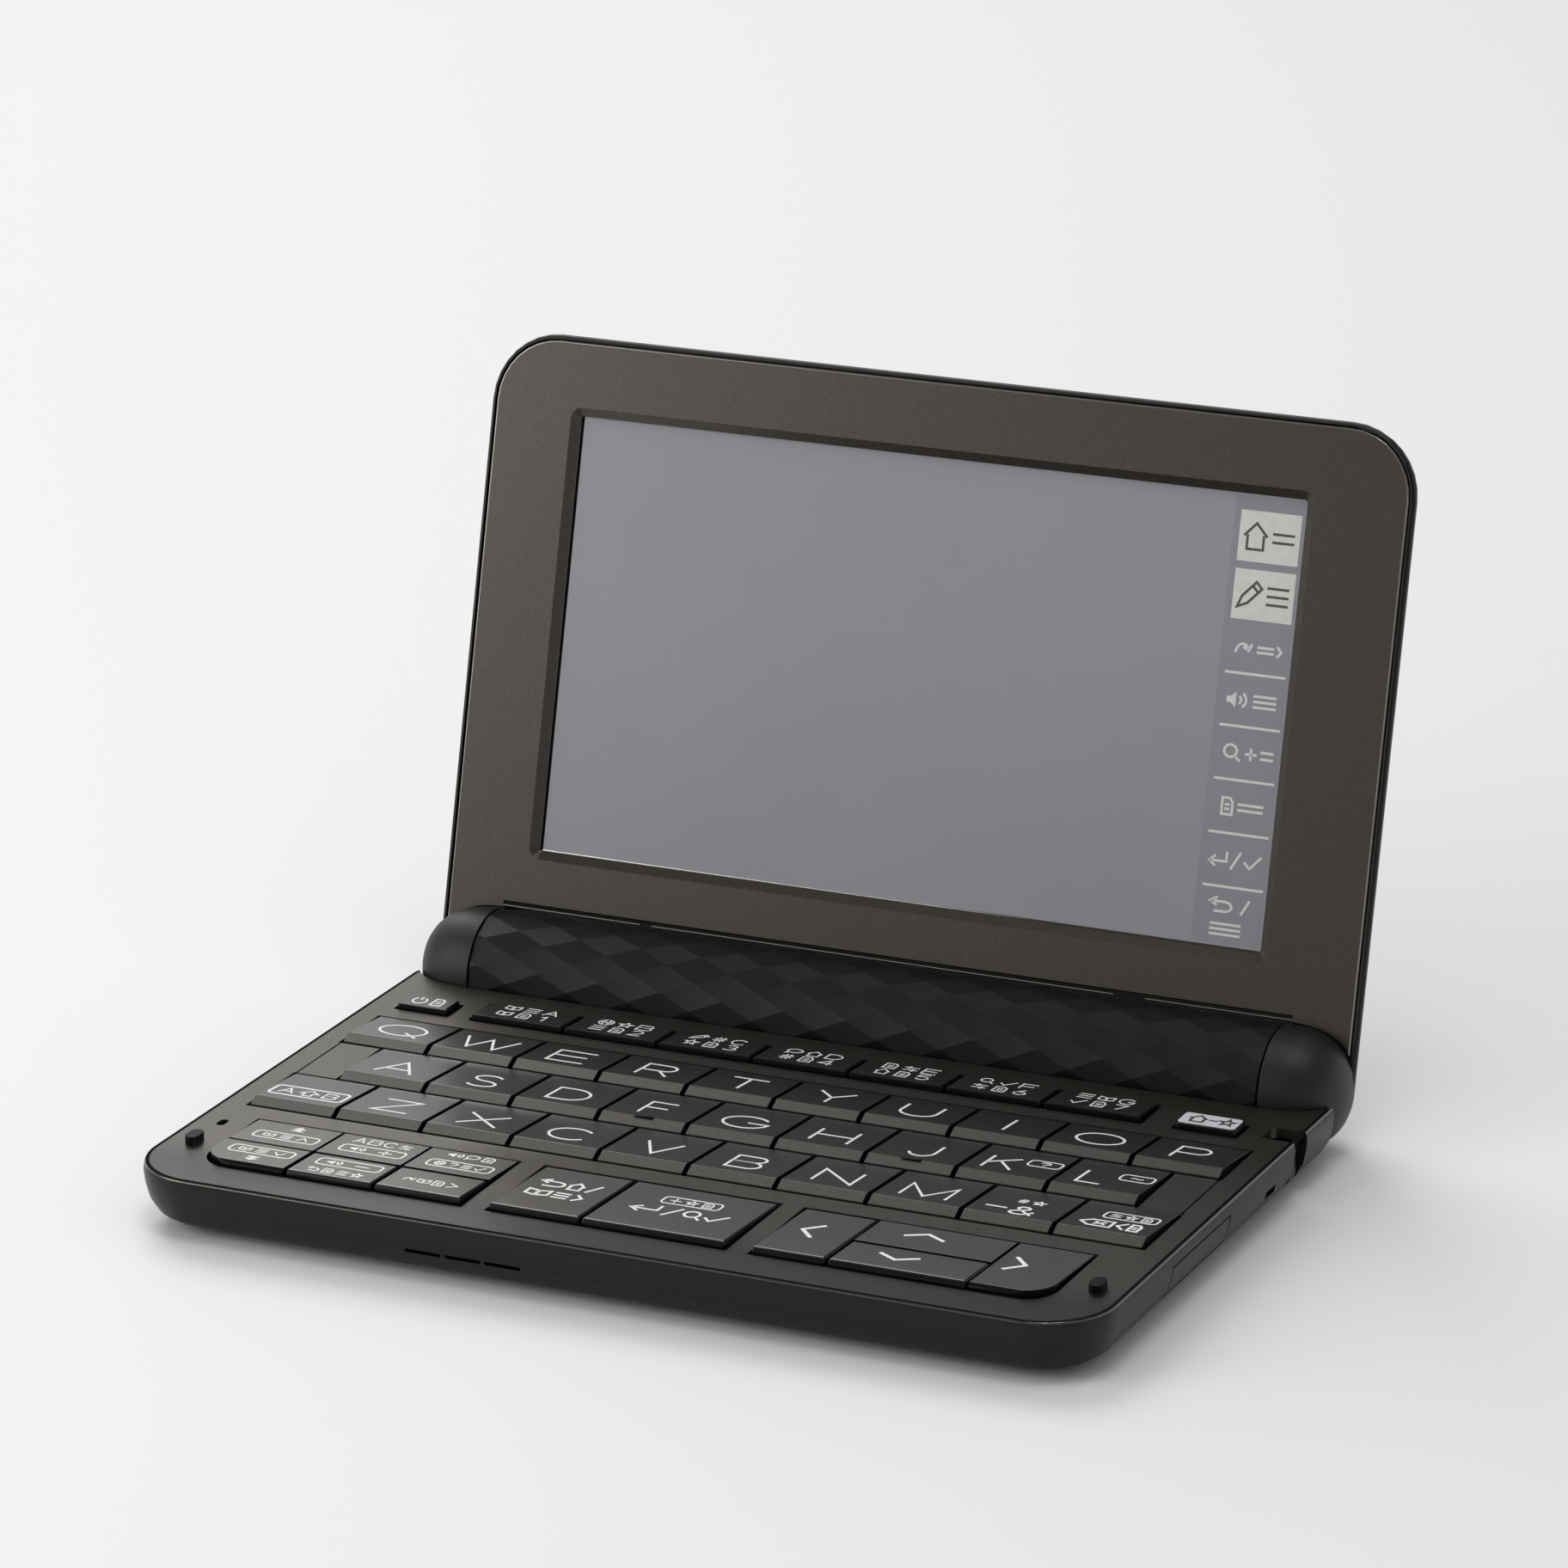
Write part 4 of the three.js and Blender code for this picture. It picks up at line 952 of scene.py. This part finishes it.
FRONT_LEGENDS = {
    "previous_key": [
        mark(TWO_UP, 0.6, 7.4, 1.1, 0.85),
        label(0.5, 3.6, 10),
        *row([BOOK, ROWS, CHEVRON_UP], 0.5, 3.6, 2.7, 0.85, 0.75),
    ],
    "next_key": [
        label(0.5, 5.6, 10),
        *row([BOOK, ROWS, CHEVRON_DOWN], 0.5, 5.6, 2.7, 0.85, 0.75),
        mark(TWO_DOWN, 0.6, 2.3, 1.1, 0.85),
    ],
    "volume_up_key": [
        *row([LETTER_A, LETTER_B, LETTER_C, SLIDERS], 0.3, 7.1, 2.4, 0.9, 0.95),
        label(0.4, 3.6, 10),
        mark(SPEAKER, -1.9, 3.6, 1.2, 0.85),
        mark(PLUS, 2.4, 3.6, 1.1, 0.8),
    ],
    "volume_down_key": [
        label(0.4, 5.8, 10),
        mark(SPEAKER, -1.9, 5.8, 1.2, 0.85),
        mark(MINUS, 2.4, 5.8, 1.1, 1),
        *row([RETURN_ARROW, NOTE, ROWS, STAR], 0, 2.2, 2.3, 0.85, 0.85),
    ],
    "guide_key": [
        mark(SPEAKER, -2.2, 7.4, 1.2, 0.95),
        *row([BUBBLE, NOTE], 1.7, 7.4, 2.5, 0.95, 0.9),
        label(0.4, 3.4, 10),
        *row([GLOBE, QUESTION, ROWS, CHECK], 0.4, 3.4, 2.1, 0.75, 0.75),
    ],
    "jump_key": row([HOP_ARROW, BOOK, NOTE, CHEVRON_RIGHT], 0.1, 4.3, 2.3, 0.9, 0.9),
    "return_key": marks_of(
        LETTER_STROKE,
        (RETURN_ARROW, -2.7, 11.7, 1.9, 1.5), (HOUSE, 1, 11.7, 1.2, 1.4), (SLASH, 3.7, 11.7, 0.7, 1.6),
        (BOOK, -2.9, 7.4, 1.7, 1.5), (ROWS, 0.7, 7.4, 1.2, 1.2), (CHEVRON_RIGHT, 3.3, 7.4, 0.7, 1.3)),
    "enter_key": [
        label(0.1, 12.6, 8.8),
        *row([PLUS, STAR, NOTE], 0.1, 12.6, 2.5, 0.85, 0.85),
        *marks_of(LETTER_STROKE, (ENTER_ARROW, -4.9, 8.1, 2.1, 1.7), (SLASH, -0.8, 8.1, 1, 1.8),
                  (LENS, 2.4, 8.1, 1.5, 1.6), (CHECK, 5.8, 8.1, 1.6, 1.6)),
    ],
    "cursor_left_key": [mark(CHEVRON_LEFT, -1, 9.8, 1.5, 2.7, CHEVRON_STROKE)],
    "cursor_right_key": [mark(CHEVRON_RIGHT, -2.4, 9.8, 1.5, 2.7, CHEVRON_STROKE)],
    "cursor_up_key": [mark(CHEVRON_UP, -1.9, 5.6, 3, 1.15, CHEVRON_STROKE)],
    "cursor_down_key": [mark(CHEVRON_DOWN, -1.9, 4.9, 3, 1.15, CHEVRON_STROKE)],
}

# Category keys: the symbols of both rows, and each row's place, spacing and sizes in millimetres
CATEGORY_UPPER = [BOOK, GLOBE, PENCIL, BUBBLE, NOTE, LENS, ROWS]
CATEGORY_LOWER = [ROWS, STAR, HASH, HOUSE, SLIDERS, CHECK, BOOK]
CATEGORY_UPPER_ROW = (0, 5.75, 3.2, 1.15, 1.15)
CATEGORY_LOWER_ROW = (0, 2.7, 3.2, 1.1, 1.15)

# Power and home keys, with y from their middles too
POWER_MARKS = [mark(POWER, -1.4, 0, 1.2, 1.3), mark(NOTE, 1.6, 0, 1, 1.3)]
HOME_MARKS = marks_of(
    LETTER_STROKE, (HOUSE, -1.8, 0, 1.3, 1.2), (MINUS, 0.5, 0, 0.7, 1), (STAR, 2.6, 0, 1.2, 1.2))

# Column of the display and its two squares, with x from its middle and y from the window's lower side
COLUMN_MARKS = marks_of(
    LABEL_STROKE,
    (HOP_ARROW, -2.2, 43.6, 1.4, 1.1), (TWO_ROWS, 1.2, 43.6, 1.3, 0.6),
    (CHEVRON_RIGHT, 3.3, 43.6, 0.4, 0.8),
    (SPEAKER, -2.4, 36.1, 1.6, 1.3), (ROWS, 1.9, 36.1, 1.8, 1),
    (LENS, -2.3, 28.4, 1.3, 1.2), (PLUS, 0.6, 28.4, 0.9, 0.9), (TWO_ROWS, 3.1, 28.4, 1, 0.8),
    (NOTE, -2.2, 20.6, 1, 1.2), (TWO_ROWS, 1.4, 20.6, 2, 0.7),
    (ENTER_ARROW, -2.7, 12.8, 1.4, 1.2), (SLASH, 0, 12.8, 0.7, 1.3), (CHECK, 2.6, 12.8, 1.3, 1.1),
    (RETURN_ARROW, -1.6, 6.2, 1.7, 1.1), (SLASH, 2.2, 6.2, 0.6, 1.1),
    (ROWS, -0.6, 2.7, 2.4, 0.95))
SQUARE_MARKS = marks_of(
    LABEL_STROKE,
    (PENCIL, -2.1, 51.45, 1.8, 1.9), (ROWS, 2.2, 51.45, 1.7, 1.5),
    (HOUSE, -2.1, 59.9, 1.8, 1.9), (TWO_ROWS, 2.2, 59.9, 1.7, 1))


# Letter keys

def prism_along_x(outline, left, right):
    """Mesh data of a body whose outline is a list of (y, z), run from left to right."""
    data = bmesh.new()
    ends = [[data.verts.new((x, y, z)) for y, z in outline] for x in (left, right)]
    count = len(outline)
    data.faces.new(ends[0])
    data.faces.new(ends[1][::-1])
    for i in range(count):
        j = (i + 1) % count
        data.faces.new((ends[0][j], ends[0][i], ends[1][i], ends[1][j]))
    bmesh.ops.recalc_face_normals(data, faces=data.faces)
    return data


def is_side_wall(face):
    upright = max(abs(face.normal.x), face.normal.y) > SIDE_NORMAL
    return upright or face.normal.z < -UNDER_NORMAL


def letter_face(name):
    """The sloping top of a letter key, with its origin over the key's front, at mid width."""
    low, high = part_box(name)
    crease = Vector(((low.x + high.x) / 2, low.y + KEY_BEVEL_RUN, high.z))
    rear = Vector((crease.x, high.y, CASE_TOP + KEY_BACK_RISE))
    slope = (rear - crease).normalized()
    return flat_face(crease - slope * (KEY_BEVEL_RUN + KEY_GAP / 2), (1, 0, 0), slope)


def letter_cap(name):
    low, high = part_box(name)
    outline = [
        (low.y, low.z),
        (high.y, low.z),
        (high.y, CASE_TOP + KEY_BACK_RISE),
        (low.y + KEY_BEVEL_RUN, high.z),
        (low.y, CASE_TOP + KEY_BEVEL_FOOT),
    ]
    data = prism_along_x(outline, low.x + KEY_SIDE_ROOM, high.x - KEY_SIDE_ROOM)
    round_edges(data, KEY_EDGE, segments=1)
    paint_faces(data, is_side_wall)
    cap = add_piece(f"{name}_cap", data, [KEY, MATTE], name, KEY_SMOOTH_ANGLE)
    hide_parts(name)


def letter_legend(name):
    letter = name[-1]
    width, strokes = LETTERS[letter]
    labels = LETTER_LABELS.get(letter, [])
    shift = LABELLED_LETTER_SHIFT if labels else 0
    drawing = placed(strokes, shift, LETTER_BEHIND_FRONT, width * MM / 2, LETTER_HEIGHT / 2)
    marks_piece(f"{name}_legend", [(drawing, LETTER_STROKE), *labels], letter_face(name), name)


def homing_bar(name):
    """The small raised bar at the crease of a home-row key."""
    low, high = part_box(name)
    middle = (low.x + high.x) / 2
    crease = low.y + KEY_BEVEL_RUN
    outline = [
        (crease - BAR_HALF_DEPTH, high.z - BAR_SINK),
        (crease + BAR_HALF_DEPTH, high.z - BAR_SINK),
        (crease + BAR_HALF_DEPTH, high.z + BAR_RISE),
        (crease - BAR_HALF_DEPTH, high.z + BAR_RISE),
    ]
    data = prism_along_x(outline, middle - BAR_HALF_LENGTH, middle + BAR_HALF_LENGTH)
    round_edges(data, SMALL_EDGE)
    add_piece(f"{name}_bar", data, [GLOSS], name)


def letter_keys():
    for name in LETTER_KEYS:
        letter_cap(name)
        letter_legend(name)
    for name in WORD_LEGENDS:
        letter_cap(name)
    for name, legend in WORD_LEGENDS.items():
        marks_piece(name.replace("key", "legend"), legend, letter_face(name), name)
    for name in BAR_KEYS:
        homing_bar(name)


# Front keys

def is_key_top(face):
    return face.normal.z > TOP_NORMAL and face.calc_center_median().z > CASE_TOP


def front_key_top(y):
    """Height of the common slope of the front keys at a depth."""
    front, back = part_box("return_key")
    start = front.y + FRONT_KEY_ROUND
    share = (y - start) / (back.y - start)
    return back.z + (CASE_TOP + KEY_BACK_RISE - back.z) * share


def front_face(name):
    """The sloping top of a front key, with its origin over the key's front, at mid width."""
    low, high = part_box(name)
    front = Vector(((low.x + high.x) / 2, low.y, front_key_top(low.y)))
    rear = Vector((front.x, high.y, front_key_top(high.y)))
    return flat_face(front, (1, 0, 0), rear - front)


def front_keys():
    for name in FRONT_KEYS:
        at_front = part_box(name)[0].y < FRONT_KEYS_Y + KEY_GAP
        edge = FRONT_KEY_EDGE if at_front else REAR_KEY_EDGE
        softened(name, GLOSS, edge, paint=is_key_top, second=FRONT_KEY)
    for name, legend in FRONT_LEGENDS.items():
        marks_piece(f"{name}_legend", legend, front_face(name), name)


# Upper keys

def category_key(i):
    """One of the caps side by side on the strip's body, highest at its front edge."""
    low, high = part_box("category_key_strip")
    pitch = (high.x - low.x + CATEGORY_GAP) / CATEGORY_COUNT
    left = low.x + i * pitch
    right = left + pitch - CATEGORY_GAP
    back = CASE_TOP + CATEGORY_BACK_RISE
    outline = [(low.y, low.z), (high.y, low.z), (high.y, back), (low.y, high.z)]
    data = prism_along_x(outline, left, right)
    round_edges(data, FRONT_KEY_EDGE, segments=WIDE_SEGMENTS)
    paint_faces(data, is_key_top)
    cap = add_piece(f"category_key_{i + 1}", data, [GLOSS, KEY], "category_key_strip")
    if i == 0:
        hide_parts("category_key_strip")
    front = Vector(((left + right) / 2, low.y, high.z))
    top = flat_face(front, (1, 0, 0), Vector((front.x, high.y, back)) - front)
    upper = [CATEGORY_UPPER[i], CATEGORY_LOWER[i], LETTER_SYMBOLS[i]]
    lower = [CATEGORY_LOWER[i - 1], NOTE, DIGITS[i]]
    legend = row(upper, *CATEGORY_UPPER_ROW) + row(lower, *CATEGORY_LOWER_ROW)
    marks_piece(f"category_legend_{i + 1}", legend, top, "category_key_strip")


def level_face(name):
    """The level top of a key, with its origin at the top's middle."""
    low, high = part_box(name)
    return flat_face(((low.x + high.x) / 2, (low.y + high.y) / 2, high.z), (1, 0, 0), (0, 1, 0))


def home_plate():
    """The white plate on the home key, with its legend."""
    low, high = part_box("home_key")
    top = level_face("home_key")
    half_x = (high.x - low.x) / 2 - HOME_RIM
    half_y = (high.y - low.y) / 2 - HOME_RIM
    outline = rounded_rectangle(half_x, half_y, HOME_CORNER)
    data = bmesh.new()
    add_patch(data, outline, top, HOME_PLATE_RISE, HOME_PLATE_RISE)
    drawn_piece("home_plate", data, WHITE_PLATE, "home_key",
                HOME_PLATE_EDGE, PLATE_EDGE_ANGLE)
    over = raised(top, HOME_PLATE_RISE)
    marks_piece("home_legend", HOME_MARKS, over, "home_key", LABEL_MARK)


def upper_keys():
    for i in range(CATEGORY_COUNT):
        category_key(i)
    softened("power_key", GLOSS, FRONT_KEY_EDGE, paint=is_key_top, second=KEY)
    softened("home_key", GLOSS, FRONT_KEY_EDGE)
    marks_piece("power_legend", POWER_MARKS, level_face("power_key"), "power_key")
    home_plate()


# Display

def display_face():
    """The display's face, with its origin level with the hinge axis, at the middle."""
    return flat_face(HINGE + LID_INWARD * LID_DISPLAY_DEPTH, (1, 0, 0), LID_ALONG)


def rectangle(left, right, low, high):
    return patch((left, low), (right, low), (right, high), (left, high))


def display_strip():
    """The fixed labels down the right side of the display."""
    face = display_face() @ Matrix.Translation((COLUMN_MIDDLE, WINDOW_LOW, 0))
    ground = [rectangle(COLUMN_LEFT, COLUMN_RIGHT, COLUMN_LOW, COLUMN_HIGH)]
    marks_piece("display_column", [(ground, 0)], face, "lid", COLUMN, COLUMN_RISE)
    left, right = -LABEL_HALF_WIDTH, LABEL_HALF_WIDTH
    squares = [rectangle(left, right, low, high) for low, high in SQUARE_LABEL_ENDS]
    separators = [line((left, height), (right, height)) for height in SEPARATOR_HEIGHTS]
    labels = [(squares + separators, LABEL_STROKE), *COLUMN_MARKS]
    marks_piece("display_labels", labels, face, "lid", LABEL)
    over = raised(face, INK_RISE)
    marks_piece("display_label_marks", SQUARE_MARKS, over, "lid", LABEL_MARK)


# Looks of the casing's faces and edges

def along_lid(point):
    """A point's distance up the lid from the hinge axis, and its depth behind that line."""
    away = point - HINGE
    return away.dot(LID_ALONG), away.dot(LID_INWARD)


def is_lid_painted_shade(face):
    """Painted shade on the lid shell: its right-hand rim, and its lip round the barrel."""
    middle = face.calc_center_median()
    up, deep = along_lid(middle)
    is_lip = up < LIP_TOP and deep < LIP_DEPTH and abs(middle.x) < PIN_LOW.x
    is_rim = up > LIP_TOP and face.normal.x > RIM_NORMAL
    return is_lip or is_rim


def is_outside_window(point):
    beside = point.x < WINDOW_LEFT - WINDOW_BEVEL or point.x > WINDOW_RIGHT + WINDOW_BEVEL
    return beside or along_lid(point)[0] > WINDOW_HIGH + WINDOW_BEVEL


def is_bezel_rim(face):
    """The bezel's rounded outer edge, which takes a painted highlight."""
    facing = face.normal.dot(-LID_INWARD)
    return is_outside_window(face.calc_center_median()) and RIM_LEAST < facing < RIM_MOST


def is_outward(face):
    """Whether a side face looks away from the middle of its part."""
    middle = face.calc_center_median()
    up, _ = along_lid(middle)
    climb = face.normal.dot(LID_ALONG)
    outward = face.normal.x * middle.x + climb * (up - LID_MIDDLE)
    return outward > 0 and abs(face.normal.x) + abs(climb) > RIM_NORMAL


def is_lid_edge(edge):
    """An outer edge of the lid's front, above the cheeks beside the barrel."""
    for vertex in edge.verts:
        _, deep = along_lid(vertex.co)
        if deep > LID_FRONT_DEPTH + RIM_NEAR or not is_outside_window(vertex.co):
            return False
    above = max(along_lid(vertex.co)[0] for vertex in edge.verts) > LIP_TOP
    return above and any(is_outward(face) for face in edge.link_faces)


def is_case_edge(edge):
    """The outer edge of the bottom case's thin top rim."""
    at_top = min(vertex.co.z for vertex in edge.verts) > CASE_TOP - RIM_NEAR
    for face in edge.link_faces:
        middle = face.calc_center_median()
        outward = face.normal.x * middle.x + face.normal.y * middle.y
        if at_top and outward > 0 and abs(face.normal.z) < RIM_NORMAL:
            return True
    return False


def is_case_rim(face):
    """The round of the case's rim, which takes a painted highlight."""
    return face.calc_center_median().z > CASE_TOP - RIM_ROUND and RIM_LEAST < face.normal.z < RIM_MOST


def is_peg(face):
    return face.calc_center_median().z > CASE_TOP + PEG_LEAST_RISE


# Casing and inner parts

def casing():
    # The round of the case's rim takes the painted highlight
    softened("bottom_case", SHELL, paint=is_case_rim, second=CASE_RIM_HIGHLIGHT, rim=is_case_edge)
    softened("port_cover", SHELL, SMALL_EDGE)
    softened("stylus", SHELL, SMALL_EDGE)
    # The lid shell's right-hand rim and its lip take the darker black as painted shade
    softened("lid_back_shell", LID_SHELL, paint=is_lid_painted_shade, second=MATTE, rim=is_lid_edge)
    softened("top_case", PLATE, paint=is_peg, second=MATTE)
    # The bezel's rounded outer edge takes the painted highlight
    softened("lid_bezel", BROWN, paint=is_bezel_rim, second=LID_RIM_HIGHLIGHT, rim=is_lid_edge)
    softened("hinge_barrel", BARREL, BARREL_EDGE, BARREL_EDGE_ANGLE, smooth_angle=BARREL_SMOOTH_ANGLE)
    softened("battery_cover", BARREL, smooth_angle=BARREL_SMOOTH_ANGLE)
    softened("display_panel", DISPLAY, SMALL_EDGE)


def plate_seam():
    """The dark joint between the top plate and the rim of the bottom case."""
    low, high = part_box("top_case")
    out = SEAM_GAP / 2
    radius = PLATE_CORNER + out
    middle_y = low.y + PLATE_CORNER
    front_left = arc(low.x + PLATE_CORNER, middle_y, radius, radius, 180, 270)
    front_right = arc(high.x - PLATE_CORNER, middle_y, radius, radius, 270, 360)
    seam = [line((low.x - out, high.y), *front_left, *front_right, (high.x + out, high.y))]
    face = flat_face((0, 0, CASE_TOP), (1, 0, 0), (0, 1, 0))
    marks_piece("plate_seam", [(seam, SEAM_GAP)], face, "base", SHADOW,
                SEAM_RISE, SEAM_DEPTH)


def window_edges():
    """The bead under the display, with its painted highlight, and the dark line at its left side."""
    face = display_face()
    level = WINDOW_LOW + BEAD_WIDTH / 2
    bead = [line((WINDOW_LEFT + WINDOW_LINE_WIDTH, level), (WINDOW_RIGHT, level))]
    data = bmesh.new()
    draw(data, bead, face, BEAD_WIDTH, BEAD_RISE)
    drawn_piece("display_bead", data, BEAD, "lid", BEAD_EDGE, BEAD_EDGE_ANGLE)
    x = WINDOW_LEFT + WINDOW_LINE_WIDTH / 2
    upright = [line((x, WINDOW_LOW), (x, WINDOW_HIGH))]
    marks_piece("display_line", [(upright, WINDOW_LINE_WIDTH)], face, "lid", SHADOW)


def lip_line():
    """A thin line of painted highlight where the lid's lip meets the barrel."""
    spans = [
        line((left, LIP_LINE_ABOVE_AXIS), (right, LIP_LINE_ABOVE_AXIS))
        for left, right in LIP_LINE_SPANS
    ]
    face = raised(display_face(), LIP_LINE_RISE)
    marks_piece("lip_line", [(spans, LIP_LINE_WIDTH)], face, "lid", LID_RIM_HIGHLIGHT)


def case_screws():
    """Four screws in the underside, below the posts inside the bottom case."""
    heads = bmesh.new()
    slots = bmesh.new()
    round_head = [patch(*arc(0, 0, SCREW_RADIUS, SCREW_RADIUS, 0, 360, SCREW_STEPS)[:-1])]
    cross = placed(PLUS, 0, 0, SCREW_SLOT, SCREW_SLOT)
    stylus_low, stylus_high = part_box("stylus")
    stylus_y = (stylus_low.y + stylus_high.y) / 2
    for side in (-1, 1):
        for y in (CASE_FRONT + SCREW_FROM_FRONT, stylus_y - SCREW_BEFORE_STYLUS):
            place = (side * (CASE_HIGH.x - SCREW_FROM_SIDE), y, CASE_LOW.z)
            face = flat_face(place, (1, 0, 0), (0, -1, 0))
            draw(heads, round_head, face, 0, SCREW_RISE, SCREW_SINK)
            draw(slots, cross, raised(face, SCREW_RISE), SCREW_SLOT_WIDTH)
    drawn_piece("case_screws", heads, STEEL, "base")
    drawn_piece("screw_slots", slots, SHADOW, "base")


def inner_parts():
    softened("key_mat", RUBBER)
    softened("circuit_board", BOARD)
    softened("battery_cells", CELL, SMALL_EDGE)
    for name in ("hinge_pin_left", "hinge_pin_right"):
        softened(name, STEEL, SMALL_EDGE)
    for name in ("front_foot", "rear_foot"):
        softened(name, RUBBER, SMALL_EDGE)


def main():
    bpy.context.scene.view_settings.view_transform = "Standard"
    world()
    for lamp in LAMPS:
        area_light(*lamp)
    stage()
    camera()
    letter_keys()
    front_keys()
    upper_keys()
    display_strip()
    casing()
    plate_seam()
    window_edges()
    lip_line()
    case_screws()
    inner_parts()


main()
